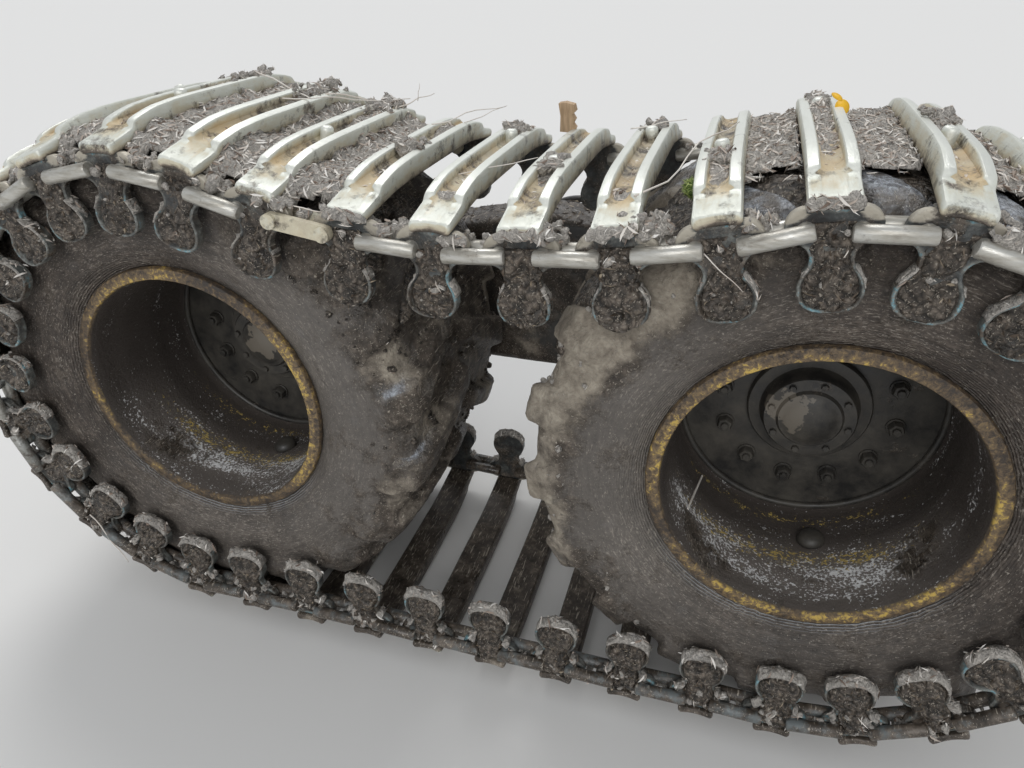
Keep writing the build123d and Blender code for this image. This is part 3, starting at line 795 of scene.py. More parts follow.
# Hubs, nuts and valve caps. The hub is a casting with a flange behind the disc and a stepped, bolted
# cover in front of it; twelve nuts on washers hold the disc, and a domed cap shields the valve.
hub_profile = (
    (0.0, -0.012), (0.052, -0.012), (0.060, -0.006), (0.074, -0.004), (0.080, 0.004), (0.108, 0.006),
    (0.112, 0.012), (0.113, 0.040), (0.120, 0.050), (0.146, 0.052), (0.1498, 0.057), (0.1498, 0.093),
    (0.248, 0.093), (0.250, 0.096), (0.250, 0.112), (0.247, 0.115), (0.190, 0.118), (0.185, 0.126),
    (0.185, 0.262), (0.0625, 0.262), (0.0625, 0.118), (0.0, 0.118),
)
nut_height, washer_height = 0.026, 0.006


def prism(sides, rings, y_way=-1):
    """A small turned prism about Y, from rings of (radius, y), drawn at the origin and closed."""
    points, faces = [], []
    for r, y in rings:
        points += [(r * math.cos(a), y_way * y, r * math.sin(a))
                   for a in np.arange(sides) * 2 * math.pi / sides]
    for k in range(len(rings) - 1):
        for i in range(sides):
            j = (i + 1) % sides
            faces.append((k * sides + i, k * sides + j, (k + 1) * sides + j, (k + 1) * sides + i))
    faces.append(tuple(range(sides)))
    faces.append(tuple(reversed(range((len(rings) - 1) * sides, len(rings) * sides))))
    return points, faces


def ringed(name, parts, radius, y, x, count, start, finish, z=axle_z):
    """Small parts repeated round an axle by the ring tree."""
    made = [recalculated(mesh_piece("part", *part)) for part in parts]
    whole = joined(name, made) if len(made) > 1 else made[0]
    whole.name = name
    whole.data.transform(Matrix.Translation((radius, y, 0)))
    nodes_made(whole, ring_tree, {
        "Count": count, "Start": start, "Axle": Vector((x, wheel_y, z)), "Finish": finish,
    })
    whole.data.shade_smooth()
    whole.data.set_sharp_from_angle(angle=math.radians(30))
    return whole


washer = prism(20, ((0.0225, 0), (0.0235, 0.001), (0.0235, 0.005), (0.0225, washer_height)))
nut = prism(6, ((0.0205, 0.004), (0.0208, 0.006), (0.0208, 0.021), (0.0175, nut_height)))
stud = prism(12, ((0.0100, 0.020), (0.0100, 0.033), (0.0085, 0.035)))
bolt = prism(6, ((0.0088, 0), (0.0092, 0.001), (0.0092, 0.007), (0.0078, 0.009)))
for end, x in WHEELS.items():
    hub = turned_piece(f"hub_{end}_casting", hub_profile, x, black_paint, 112, False)
    nuts = ringed(f"wheel_nuts_{end}_steel", [washer, nut, stud], 0.2125, 0.071, x, 12, 0.13, black_paint)
    cover_bolts = ringed(f"hub_cover_bolts_{end}", [bolt], 0.095, 0.006, x, 8, 0.2, black_paint)
    cap = recalculated(mesh_piece(f"valve_cap_{end}", *prism(28, (
        (0.0340, 0), (0.0340, 0.006), (0.0330, 0.012), (0.0290, 0.019), (0.0220, 0.0240),
        (0.0130, 0.0268), (0.0045, 0.0280),
    ), 1)))
    inward = Vector((-math.cos(math.radians(80)), 0, math.sin(math.radians(80))))
    cap.data.transform(
        Matrix.Translation(Vector((x, wheel_y - 0.074, axle_z)) - inward * 0.3235)
        @ inward.to_track_quat("Y", "Z").to_matrix().to_4x4()
    )
    cap.data.materials.append(black_paint)
    for piece, node, slot in ((hub, "hub", "hub_paint"), (nuts, "wheel_nuts", "nut_steel"),
                              (cap, "valve_guard", "disc_paint")):
        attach(piece, f"wheel_{end}")
        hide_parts(f"{node}_{end}")
    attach(cover_bolts, f"wheel_{end}")

# The band track's loop. Cross members of forged wear steel stand a pin's pitch apart on a line that
# runs flat on the ground, round both wheels, and sags between their tops.
pin_radius = 0.617
half_base = 0.7725
lean = math.radians(16)
member_count = 38
joining_extra, joining_x = 0.025, -0.325
leave_x = half_base - pin_radius * math.sin(lean)
sag_radius = leave_x / math.sin(lean)
wrap = pin_radius * (math.pi + lean)
sag_run = 2 * sag_radius * lean
loop = 2 * half_base + 2 * wrap + sag_run
sag_top = axle_z + (pin_radius + sag_radius) * math.cos(lean)
pitch = (loop - joining_extra) / member_count
joining_at = sag_radius * math.asin(joining_x / sag_radius)
first_at = joining_at + (pitch + joining_extra) / 2


def on_loop(distance):
    """Place (x, z) and slope on the loop, at a distance from the middle of its top."""
    distance = (distance + loop / 2) % loop - loop / 2
    side, gone = (1 if distance >= 0 else -1), abs(distance)
    if gone < sag_run / 2:
        turn = gone / sag_radius
        x, z = sag_radius * math.sin(turn), sag_top - sag_radius * math.cos(turn)
        slope = turn
    elif gone < sag_run / 2 + wrap:
        turn = (gone - sag_run / 2) / pin_radius - lean
        x, z = half_base + pin_radius * math.sin(turn), axle_z + pin_radius * math.cos(turn)
        slope = -turn
    else:
        x, z, slope = half_base - (gone - sag_run / 2 - wrap), axle_z - pin_radius, -math.pi
    return side * x, z, side * slope


def stops_on_loop(name, distances):
    """Loose points on the loop that carry their slope, for pieces to be set on."""
    stops = [on_loop(d) for d in distances]
    piece = mesh_piece(name, [(x, wheel_y, z) for x, z, _ in stops], [])
    numbers(piece.data, "slope", [slope for _, _, slope in stops])
    return piece


# Track tree: sets a copy of a piece on every stop, leaning with the loop, each a little different
track_tree, given, out = new_tree(
    "pieces along the track", "GeometryNodeTree",
    {"Geometry": ("Geometry", None), "Piece": ("Object", None), "Wobble": ("Float", 0.0),
     "Size Spread": ("Float", 0.0), "Seed": ("Int", 3), "Finish": ("Material", None)},
    {"Geometry": ("Geometry", None)},
)
one = wire(track_tree, "GeometryNodeObjectInfo", {"Object": given.outputs["Piece"]})
slope = wire(track_tree, "GeometryNodeInputNamedAttribute", {"Name": "slope"}, data_type="FLOAT")
jitter = wire(track_tree, "FunctionNodeRandomValue", {
    "Min": -1.0, "Max": 1.0, "Seed": given.outputs["Seed"],
}, data_type="FLOAT")
rock = wire(track_tree, "ShaderNodeMath", {
    0: jitter.outputs[1], 1: given.outputs["Wobble"], 2: wire(track_tree, "ShaderNodeMath", {
        0: slope.outputs[0], 1: -1.0,
    }, operation="MULTIPLY").outputs[0],
}, operation="MULTIPLY_ADD")
turned_to = wire(track_tree, "ShaderNodeCombineXYZ", {"Y": rock.outputs[0]})
grow = wire(track_tree, "ShaderNodeMath", {
    0: jitter.outputs[1], 1: given.outputs["Size Spread"], 2: 1.0,
}, operation="MULTIPLY_ADD")
copies = wire(track_tree, "GeometryNodeInstanceOnPoints", {
    "Points": given.outputs["Geometry"], "Instance": one.outputs["Geometry"],
    "Rotation": turned_to.outputs[0], "Scale": grow.outputs[0],
})
shade = wire(track_tree, "FunctionNodeRandomValue", {"Min": 0.0, "Max": 1.0, "Seed": 11}, data_type="FLOAT")
marked = wire(track_tree, "GeometryNodeStoreNamedAttribute", {
    "Geometry": copies.outputs[0], "Name": "shade", "Value": shade.outputs[1],
}, data_type="FLOAT", domain="INSTANCE")
real = wire(track_tree, "GeometryNodeRealizeInstances", {"Geometry": marked.outputs[0]})
finished = wire(track_tree, "GeometryNodeSetMaterial", {
    "Geometry": real.outputs[0], "Material": given.outputs["Finish"],
})
track_tree.links.new(finished.outputs[0], out.inputs[0])


def along_track(name, pattern, distances, finish, wobble=0.0, spread=0.0, seed=3, sharp=35):
    """The pattern piece repeated along the track, riding on the bogie."""
    piece = stops_on_loop(name, distances)
    nodes_made(piece, track_tree, {
        "Piece": pattern, "Wobble": wobble, "Size Spread": spread, "Seed": seed, "Finish": finish,
    })
    bpy.data.objects.remove(pattern)
    piece.data.shade_smooth()
    piece.data.set_sharp_from_angle(angle=math.radians(sharp))
    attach(piece, "bogie")
    return piece


# Cross members. Each is one forging: two ribs with a channel between them, arched over the tyre, that
# end on flat tongues sloping down to both ends. The ground has worn the tops bright, and rust water
# stains the channels.
member_run = (
    (0.000, 0.1110, 0.0850, 0.0590), (0.120, 0.1108, 0.0845, 0.0588), (0.200, 0.1090, 0.0830, 0.0575),
    (0.240, 0.1055, 0.0808, 0.0550), (0.270, 0.1008, 0.0788, 0.0518), (0.295, 0.0955, 0.0772, 0.0482),
    (0.310, 0.0918, 0.0762, 0.0460), (0.318, 0.0890, 0.0756, 0.0448), (0.324, 0.0850, 0.0751, 0.0440),
    (0.328, 0.0800, 0.0747, 0.0434), (0.331, 0.0748, 0.0743, 0.0430), (0.336, 0.0730, 0.0729, 0.0422),
    (0.375, 0.0634, 0.0633, 0.0364), (0.414, 0.0545, 0.0544, 0.0310),
)
member_end, member_half, corner, edge_round = 0.414, 0.0435, 0.012, 0.007

member_steel, tree, shader = paint_with("ground-worn track steel", Specular_IOR_Level=0.5)
member_place = wire(tree, "ShaderNodeTexCoord").outputs["Object"]
wear = wire(tree, "ShaderNodeAttribute", attribute_name="wear").outputs["Fac"]
stain = wire(tree, "ShaderNodeAttribute", attribute_name="stain").outputs["Fac"]
cloudy = wire(tree, "ShaderNodeTexNoise", {"Vector": member_place, "Scale": 13, "Detail": 7, "Roughness": 0.65})
scratch = wire(tree, "ShaderNodeTexNoise", {
    "Vector": wire(tree, "ShaderNodeMapping", {"Vector": member_place, "Scale": (70, 10, 70)}).outputs[0],
    "Scale": 1.0, "Detail": 6, "Roughness": 0.75,
})
drift = wire(tree, "ShaderNodeMath", {0: cloudy.outputs["Fac"], 1: 0.8, 2: -0.40}, operation="MULTIPLY_ADD")
fine_drift = wire(tree, "ShaderNodeMath", {0: scratch.outputs["Fac"], 1: 0.5, 2: -0.25}, operation="MULTIPLY_ADD")
drifts = wire(tree, "ShaderNodeMath", {0: drift.outputs[0], 1: fine_drift.outputs[0]}, operation="ADD")
worn = wire(tree, "ShaderNodeMath", {0: drifts.outputs[0], 1: wear}, operation="ADD")
steel = wire(tree, "ShaderNodeValToRGB", {"Fac": worn.outputs[0]})
steel.color_ramp.elements[0].position = 0.0
steel.color_ramp.elements[0].color = (0.085, 0.068, 0.052, 1)
steel.color_ramp.elements[1].position = 0.95
steel.color_ramp.elements[1].color = (0.80, 0.81, 0.745, 1)
for place, colour in ((0.16, (0.24, 0.20, 0.155, 1)), (0.30, (0.50, 0.435, 0.325, 1)),
                      (0.50, (0.62, 0.57, 0.43, 1)), (0.68, (0.69, 0.70, 0.62, 1))):
    steel.color_ramp.elements.new(place).color = colour
rust = wire(tree, "ShaderNodeTexNoise", {"Vector": member_place, "Scale": 11.0, "Detail": 5, "Roughness": 0.6})
rust_mask = wire(tree, "ShaderNodeMapRange", {
    "Value": wire(tree, "ShaderNodeMath", {0: rust.outputs["Fac"], 1: stain}, operation="ADD").outputs[0],
    "From Min": 0.92, "From Max": 1.35, "To Max": 0.66,
})
rusty = wire(tree, "ShaderNodeMix", {
    "Factor": rust_mask.outputs[0], 6: steel.outputs["Color"], 7: (0.64, 0.42, 0.17, 1),
}, data_type="RGBA")
polish = wire(tree, "ShaderNodeMapRange", {
    "Value": worn.outputs[0], "From Min": 0.1, "From Max": 0.95, "To Min": 0.58, "To Max": 0.32,
})
streaked = wire(tree, "ShaderNodeMath", {0: scratch.outputs["Fac"], 1: 0.20, 2: polish.outputs[0]},
                operation="MULTIPLY_ADD")
below_half = wire(tree, "ShaderNodeMapRange", {
    "Value": wire(tree, "ShaderNodeSeparateXYZ", {0: member_place}).outputs["Z"],
    "From Min": 0.95, "From Max": 0.35, "To Min": 0.0, "To Max": 0.26,
})
settled = wire(tree, "ShaderNodeMapRange", {
    "Value": wear, "From Min": 0.0, "From Max": 1.0, "To Min": 0.52, "To Max": 0.31,
})
soiled = wire(tree, "ShaderNodeMath", {0: settled.outputs[0], 1: below_half.outputs[0]}, operation="ADD")
laid = smeared(tree, shader, soiled.outputs[0], rusty.outputs[2], streaked.outputs[0], 1.0, 0.30, 16.0,
               0.0020, scratch.outputs["Fac"])
shine = wire(tree, "ShaderNodeMapRange", {
    "Value": worn.outputs[0], "From Min": 0.5, "From Max": 1.0, "To Min": 0.08, "To Max": 0.60,
})
metal = wire(tree, "ShaderNodeMath", {0: shine.outputs[0], 1: laid.outputs["Bare"]}, operation="MULTIPLY")
tree.links.new(metal.outputs[0], shader.inputs["Metallic"])


def member_section(u):
    """Half a cross section at a distance u from the middle: rows of across, outward, wear and stain."""
    table = np.array(member_run)
    top, floor, under = (np.interp(u, table[:, 0], table[:, k]) for k in (1, 2, 3))
    past = max(0.0, u - (member_end - corner))
    half = member_half - (corner - math.sqrt(max(0, corner**2 - past**2)))
    past = max(0.0, u - (member_end - edge_round))
    drop = edge_round - math.sqrt(max(0, edge_round**2 - past**2))
    top, floor, under = top - drop, floor - drop, under + drop * 0.6
    rib = min(1, max(0, (top - floor - 0.0004) / 0.010))
    nose = min(1, max(0, (0.331 - u) / 0.012)) if rib else 1
    wall = half - 0.0235 * (1 - (1 - nose) ** 2 * 0.45)
    wear_floor = np.interp(u, (0.0, 0.24, 0.30, 0.335, 0.36, 0.395, 0.414), (0.34, 0.40, 0.42, 0.48, 0.62, 0.74, 0.86))
    orange = np.interp(u, (0.0, 0.10, 0.25, 0.31, 0.345, 0.40), (0.42, 0.50, 0.58, 0.72, 0.56, 0.32))
    wear_top = 0.78 + 0.22 * rib if u < 0.34 else wear_floor
    ends = 0.62 if u > member_end - 0.001 else 1
    return [
        (0.000, under + 0.003, 0.0, 0.2), (0.028, under + 0.001, 0.0, 0.2), (half - 0.005, under, 0.05, 0.2),
        (half - 0.001, under + 0.005, 0.30, 0.3), (half, (under + top) / 2, 0.60 * ends, 0.25),
        (half - 0.0004, top - 0.007, 0.68 * ends, 0.2), (half - 0.0028, top - 0.0017, 0.86 * ends, 0.1),
        (half - 0.0090, top, wear_top * ends, 0.0), (wall + 0.0030, top - 0.0003 * rib, wear_top * ends, 0.0),
        (wall, top - 0.0035 * rib, (0.55 * rib + wear_floor * (1 - rib)) * ends, 0.3),
        (wall - 0.0012 * rib, top + (floor + 0.007 - top) * rib, wear_floor * ends, orange),
        (wall - 0.0060 * rib - 0.003, top + (floor + 0.0012 - top) * rib, wear_floor * ends, orange),
        (0.0000, top + (floor - top) * rib, wear_floor * ends, orange),
    ]


us = np.unique(np.concatenate((
    np.linspace(0, 0.24, 5), np.linspace(0.24, 0.312, 6), np.linspace(0.317, 0.333, 6),
    np.linspace(0.350, 0.390, 3), member_end - corner * (1 - np.sin(np.linspace(0, math.pi / 2, 5))),
)).round(5))
points, faces, wears, stains = [], [], [], []
stations = list(-us[::-1]) + list(us[1:])
for u in stations:
    half = member_section(abs(u))
    bite = max(0.0, (abs(u) - 0.385) / 0.029)
    for w, v, a, b in half + [(-w, v, a, b) for w, v, a, b in half[-2:0:-1]]:
        hollow = 0.009 * bite * (1 - (w / member_half) ** 2)
        points.append((w, u - math.copysign(hollow, u), v))
        wears.append(a)
        stains.append(b)
around = 24
for i in range(len(stations) - 1):
    for k in range(around):
        n = (k + 1) % around
        faces.append((i * around + k, i * around + n, (i + 1) * around + n, (i + 1) * around + k))
for base, u_end in ((0, -1), ((len(stations) - 1) * around, 1)):
    centre = len(points)
    points.append((0.0, u_end * (member_end - 0.012), 0.043))
    wears.append(0.30)
    stains.append(0.0)
    faces += [(base + k, base + (k + 1) % around, centre) for k in range(around)]
member = mesh_piece("member", points, faces)
numbers(member.data, "wear", wears)
numbers(member.data, "stain", stains)
recalculated(member)
member_places = [first_at + k * pitch for k in range(member_count)]
members = along_track("track_cross_members", member, member_places, member_steel, 0.014, 0.0, 5, 40)
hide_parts("track")

# Studs. A round ice stud stands in every channel, staggered from one cross member to the next; its head
# is worn round and bright.
stud_rings = ((0.0155, 0.0), (0.0155, 0.028), (0.0150, 0.0325), (0.0135, 0.0360), (0.0105, 0.0385),
              (0.0060, 0.0395))
for start, u in ((0, -0.105), (1, 0.150)):
    peg = recalculated(mesh_piece("peg", *prism(20, stud_rings, 1)))
    peg.data.transform(Matrix.Translation((0, u, 0.0796)) @ Matrix.Rotation(math.radians(90), 4, "X"))
    rise = points_of(peg.data)[:, 2]
    numbers(peg.data, "wear", np.interp(rise, (0.096, 0.112), (0.45, 1.0)))
    numbers(peg.data, "stain", np.interp(rise, (0.085, 0.112), (0.6, 0.0)))
    spaced = [place for k, place in enumerate(member_places) if (k + (k > 18)) % 2 == start]
    studs = along_track(f"track_studs_{'ab'[start]}", peg, spaced, member_steel, 0.0, 0.0, 5, 40)

# Side plates. Under each tongue a cast plate carries two round ears for the links and a bell-shaped
# pan that guides the tyre. Blue-green paint is left in flecks on its rims, and the ears' tops are worn.
plate_out, plate_thick = 0.379, 0.018
ear_x, ear_rise, ear_radius = 0.0440, 0.0040, 0.0335
pan_outline = (
    (0.0500, -0.0285), (0.0425, -0.0350), (0.0375, -0.0430), (0.0352, -0.0530), (0.0375, -0.0640),
    (0.0445, -0.0740), (0.0510, -0.0860), (0.0545, -0.1000), (0.0545, -0.1140), (0.0505, -0.1280),
    (0.0420, -0.1390), (0.0290, -0.1460), (0.0150, -0.1490),
)

plate_steel, tree, shader = paint_with("painted track casting", Specular_IOR_Level=0.5)
edge_number = wire(tree, "ShaderNodeAttribute", attribute_name="edge").outputs["Fac"]
bare_number = wire(tree, "ShaderNodeAttribute", attribute_name="wear").outputs["Fac"]
plate_place = wire(tree, "ShaderNodeTexCoord").outputs["Object"]
flaking = wire(tree, "ShaderNodeTexNoise", {"Vector": plate_place, "Scale": 21, "Detail": 7, "Roughness": 0.75})
paint_left = wire(tree, "ShaderNodeMath", {0: edge_number, 1: 0.155, 2: flaking.outputs["Fac"]},
                  operation="MULTIPLY_ADD")
casting = wire(tree, "ShaderNodeValToRGB", {"Fac": paint_left.outputs[0]})
casting.color_ramp.elements[0].position = 0.38
casting.color_ramp.elements[0].color = (0.028, 0.026, 0.025, 1)
casting.color_ramp.elements[1].position = 0.86
casting.color_ramp.elements[1].color = (0.34, 0.34, 0.31, 1)
for place, colour in ((0.52, (0.055, 0.060, 0.060, 1)), (0.62, (0.13, 0.135, 0.125, 1)),
                      (0.69, (0.22, 0.225, 0.21, 1)), (0.73, (0.12, 0.27, 0.32, 1)),
                      (0.765, (0.25, 0.42, 0.46, 1)), (0.79, (0.30, 0.32, 0.30, 1))):
    casting.color_ramp.elements.new(place).color = colour
bared = wire(tree, "ShaderNodeMath", {
    0: bare_number, 1: wire(tree, "ShaderNodeMath", {0: flaking.outputs["Fac"], 1: 0.6, 2: -0.3},
                            operation="MULTIPLY_ADD").outputs[0],
}, operation="ADD")
bare_mask = wire(tree, "ShaderNodeMapRange", {"Value": bared.outputs[0], "From Min": 0.35, "From Max": 0.60})
on_plate = wire(tree, "ShaderNodeMix", {
    "Factor": bare_mask.outputs[0], 6: casting.outputs["Color"], 7: (0.50, 0.46, 0.385, 1),
}, data_type="RGBA")
plate_mud = wire(tree, "ShaderNodeMapRange", {"Value": bare_number, "To Min": 0.47, "To Max": 0.34})
laid = smeared(tree, shader, plate_mud.outputs[0], on_plate.outputs[2], 0.42, 1.2, 0.22, 14.0, 0.004,
               flaking.outputs["Fac"])
metal = wire(tree, "ShaderNodeMath", {
    0: wire(tree, "ShaderNodeMath", {0: bare_mask.outputs[0], 1: 0.5}, operation="MULTIPLY").outputs[0],
    1: laid.outputs["Bare"],
}, operation="MULTIPLY")
tree.links.new(metal.outputs[0], shader.inputs["Metallic"])

ear_arc = [(ear_x + ear_radius * math.cos(a), ear_rise + ear_radius * math.sin(a))
           for a in np.radians(np.linspace(112, -58, 11))]
half_outline = [(0.012, 0.034)] + ear_arc + list(pan_outline)


def side_plate(side):
    """One plate with a raised rim round its pan, drawn at a stop of the loop."""
    flat = np.array(half_outline + [(-w, v) for w, v in half_outline[::-1]])
    count = len(flat)
    ahead_of = np.roll(flat, -1, 0) - np.roll(flat, 1, 0)
    ahead_of /= np.linalg.norm(ahead_of, axis=1)[:, None]
    outwards = np.stack((-ahead_of[:, 1], ahead_of[:, 0]), 1)
    stand = 0.0085 * np.clip((-flat[:, 1] - 0.050) / 0.020, 0, 1)
    back = np.zeros(count)
    face = back + plate_thick
    points, edges, bare = [], [], []
    for inset, reach, number in (
        (0.0020, back, 0.2), (0.0, back + 0.002, 0.6), (0.0, face - 0.002 + stand, 0.9),
        (0.0018, face + stand, 1.0), (0.0048, face + stand, 0.9), (0.0072, face + stand * 0.6, 0.4),
        (0.0095, face - 0.0004, 0.0),
    ):
        for (w, v), r in zip(flat - outwards * inset, reach):
            points.append((w, side * (plate_out + r), v))
            edges.append(number)
            bare.append(min(1, max(0, (v - 0.004) / 0.014)) * min(1, max(0, (abs(w) - 0.038) / 0.010)))
    faces = []
    for k in range(6):
        for i in range(count):
            j = (i + 1) % count
            faces.append((k * count + i, k * count + j, (k + 1) * count + j, (k + 1) * count + i))
    shares = (1, 0.45, -0.45, -1)
    for base in (0, 6 * count):
        rows = []
        for i in range(count // 2):
            a, b = base + i, base + count - 1 - i
            row = [a]
            for share in shares[1:-1]:
                w, y, v = points[a]
                row.append(len(points))
                points.append((w * share, y, v))
                edges.append(0.0)
                bare.append(min(1, max(0, (v - 0.004) / 0.014)) * min(1, max(0, (abs(w * share) - 0.038) / 0.010)))
            rows.append(row + [b])
        for row, after in zip(rows, rows[1:]):
            faces += [(row[c], row[c + 1], after[c + 1], after[c]) for c in range(len(shares) - 1)]
    piece = recalculated(mesh_piece("plate", points, faces))
    numbers(piece.data, "edge", edges)
    numbers(piece.data, "wear", bare)
    return piece


for side, name in ((-1, "outer"), (1, "inner")):
    plates = along_track(f"track_side_plates_{name}", side_plate(side), member_places, plate_steel, 0.03, 0.0, 5)

# Links. A closed ring of round bar joins each pair of ears, its outer bar polished by the ground; the
# track is closed by one longer joint of two flat bars on pins.
link_bar, link_half_width = 0.0160, 0.0245
link_half = (pitch - 2 * ear_x) / 2 + 0.001
bright_bar, tree, shader = paint_with("polished link steel", Specular_IOR_Level=0.5)
bar_place = wire(tree, "ShaderNodeTexCoord").outputs["Object"]
pits = wire(tree, "ShaderNodeTexNoise", {
    "Vector": wire(tree, "ShaderNodeMapping", {"Vector": bar_place, "Scale": (12, 60, 60)}).outputs[0],
    "Scale": 1.0, "Detail": 6, "Roughness": 0.7,
})
bar_colour = wire(tree, "ShaderNodeValToRGB", {"Fac": pits.outputs["Fac"]})
bar_colour.color_ramp.elements[0].position = 0.30
bar_colour.color_ramp.elements[0].color = (0.24, 0.215, 0.18, 1)
bar_colour.color_ramp.elements[1].position = 0.62
bar_colour.color_ramp.elements[1].color = (0.56, 0.55, 0.51, 1)
bar_colour.color_ramp.elements.new(0.46).color = (0.43, 0.41, 0.36, 1)
bar_gloss = wire(tree, "ShaderNodeMapRange", {
    "Value": pits.outputs["Fac"], "From Min": 0.3, "From Max": 0.7, "To Min": 0.46, "To Max": 0.26,
})
bar_low = wire(tree, "ShaderNodeMapRange", {
    "Value": wire(tree, "ShaderNodeSeparateXYZ", {0: bar_place}).outputs["Z"],
    "From Min": 0.9, "From Max": 0.3, "To Min": 0.35, "To Max": 0.57,
})
on_ground = wire(tree, "ShaderNodeMapRange", {
    "Value": wire(tree, "ShaderNodeSeparateXYZ", {0: bar_place}).outputs["Z"],
    "From Min": 0.75, "From Max": 0.30, "To Max": 0.85,
})
dulled = wire(tree, "ShaderNodeMix", {
    "Factor": on_ground.outputs[0], 6: bar_colour.outputs["Color"], 7: (0.085, 0.108, 0.118, 1),
}, data_type="RGBA")
laid = smeared(tree, shader, bar_low.outputs[0], dulled.outputs[2], bar_gloss.outputs[0], 1.0, 0.25,
               18.0, 0.0015, pits.outputs["Fac"])
metal = wire(tree, "ShaderNodeMath", {
    0: wire(tree, "ShaderNodeMath", {0: on_ground.outputs[0], 1: -0.5, 2: 0.5}, operation="MULTIPLY_ADD").outputs[0],
    1: laid.outputs["Bare"],
}, operation="MULTIPLY")
tree.links.new(metal.outputs[0], shader.inputs["Metallic"])


def link_ring():
    """One link: two long bars and two short ones that meet at its corners, all closed."""
    bars = []
    for length, turn, shift in (
        (2 * link_half + 0.031, 0, (0, -link_half_width)), (2 * link_half + 0.031, 0, (0, link_half_width)),
        (2 * link_half_width, 90, (-link_half, 0)), (2 * link_half_width, 90, (link_half, 0)),
    ):
        end = length / 2
        bar = recalculated(mesh_piece("bar", *prism(14, (
            (0.0090, -end), (0.0135, 0.0012 - end), (link_bar, 0.0050 - end), (link_bar, end - 0.0050),
            (0.0135, end - 0.0012), (0.0090, end),
        ), 1)))
        bar.data.transform(
            Matrix.Translation((*shift, 0)) @ Matrix.Rotation(math.radians(90 - turn), 4, "Z")
        )
        bars.append(bar)
    return joined("ring", bars)


link_places = [first_at + (k + 0.5) * pitch for k in range(member_count - 1)]
for side, name in ((-1, "outer"), (1, "inner")):
    ring = link_ring()
    ring.data.transform(Matrix.Translation((0, side * (plate_out + plate_thick / 2), -0.003)))
    links = along_track(f"track_links_{name}", ring, link_places, bright_bar, 0.05, 0.0, 9)

for side, name in ((-1, "outer"), (1, "inner")):
    middle = side * (plate_out + plate_thick / 2)
    strap_half = (pitch + joining_extra) / 2 - ear_x
    parts = []
    for offset in (-0.024, 0.024):
        outline = [(strap_half * c + 0.017 * math.cos(a), 0.017 * math.sin(a))
                   for c, start in ((1, -90), (-1, 90)) for a in np.radians(start + np.linspace(0, 180, 9))]
        rows = [(x, middle + offset + y, z) for y in (-0.0075, 0.0075) for x, z in outline]
        n = len(outline)
        sides = [(i, (i + 1) % n, n + (i + 1) % n, n + i) for i in range(n)]
        parts.append(recalculated(mesh_piece("strap", rows, sides + [tuple(range(n)), tuple(range(n, 2 * n))])))
    for x in (-strap_half, strap_half):
        pin = mesh_piece("pin", *prism(20, (
            (0.0125, -0.0390), (0.0165, -0.0385), (0.0175, -0.0365), (0.0175, -0.0325), (0.0130, -0.0320),
            (0.0130, 0.0320), (0.0165, 0.0325), (0.0165, 0.0385),
        ), side))
        pin.data.transform(Matrix.Translation((x, middle, 0)))
        parts.append(recalculated(pin))
    for part in parts:
        numbers(part.data, "wear", np.full(len(part.data.vertices), 0.46))
        numbers(part.data, "stain", np.full(len(part.data.vertices), 0.3))
    joint = along_track(f"track_joining_link_{name}", joined("joint", parts), [joining_at], member_steel)

# Bogie. A long cast gear case, caked on top, joins both axle housings inboard of the wheels; its two
# covers, drain plugs and bolted trunnion housing face the machine, and the trunnion ends in a drilled
# flange.
case_near, case_far, pivot_z = wheel_y + 0.440, wheel_y + 0.640, axle_z + 0.060
case_coat, tree, shader = paint_with("dark machine paint", Specular_IOR_Level=0.5)
coat_noise = wire(tree, "ShaderNodeTexNoise", {
    "Vector": wire(tree, "ShaderNodeTexCoord").outputs["Object"], "Scale": 7, "Detail": 7, "Roughness": 0.68,
})
coat_colour = wire(tree, "ShaderNodeValToRGB", {"Fac": coat_noise.outputs["Fac"]})
coat_colour.color_ramp.elements[0].position = 0.32
coat_colour.color_ramp.elements[0].color = (0.030, 0.031, 0.031, 1)
coat_colour.color_ramp.elements[1].position = 0.70
coat_colour.color_ramp.elements[1].color = (0.110, 0.102, 0.092, 1)
coat_colour.color_ramp.elements.new(0.52).color = (0.052, 0.052, 0.050, 1)
coat_gloss = wire(tree, "ShaderNodeMapRange", {
    "Value": coat_noise.outputs["Fac"], "From Min": 0.3, "From Max": 0.7, "To Min": 0.30, "To Max": 0.60,
})
case_mud = wire(tree, "ShaderNodeMath", {
    0: wire(tree, "ShaderNodeAttribute", attribute_name="mud").outputs["Fac"], 1: 0.36,
}, operation="ADD")
smeared(tree, shader, case_mud.outputs[0], coat_colour.outputs["Color"], coat_gloss.outputs[0], 1.0, 0.30, 6.0,
        0.005, coat_noise.outputs["Fac"])


def case_outline(inset):
    """Outline (x, z) of the case: the hull of its three rounds, drawn in by an inset."""
    rounds = ((0.7725, axle_z, 0.190, -89.63, 80.75, 30), (0.0, pivot_z, 0.255, 80.75, 99.25, 9),
              (-0.7725, axle_z, 0.190, 99.25, 269.63, 30), (0.0, pivot_z, 0.255, 269.63, 270.37, 2))
    return [(x + (r - inset) * math.cos(a), z + (r - inset) * math.sin(a))
            for x, z, r, start, stop, count in rounds for a in np.radians(np.linspace(start, stop, count))]


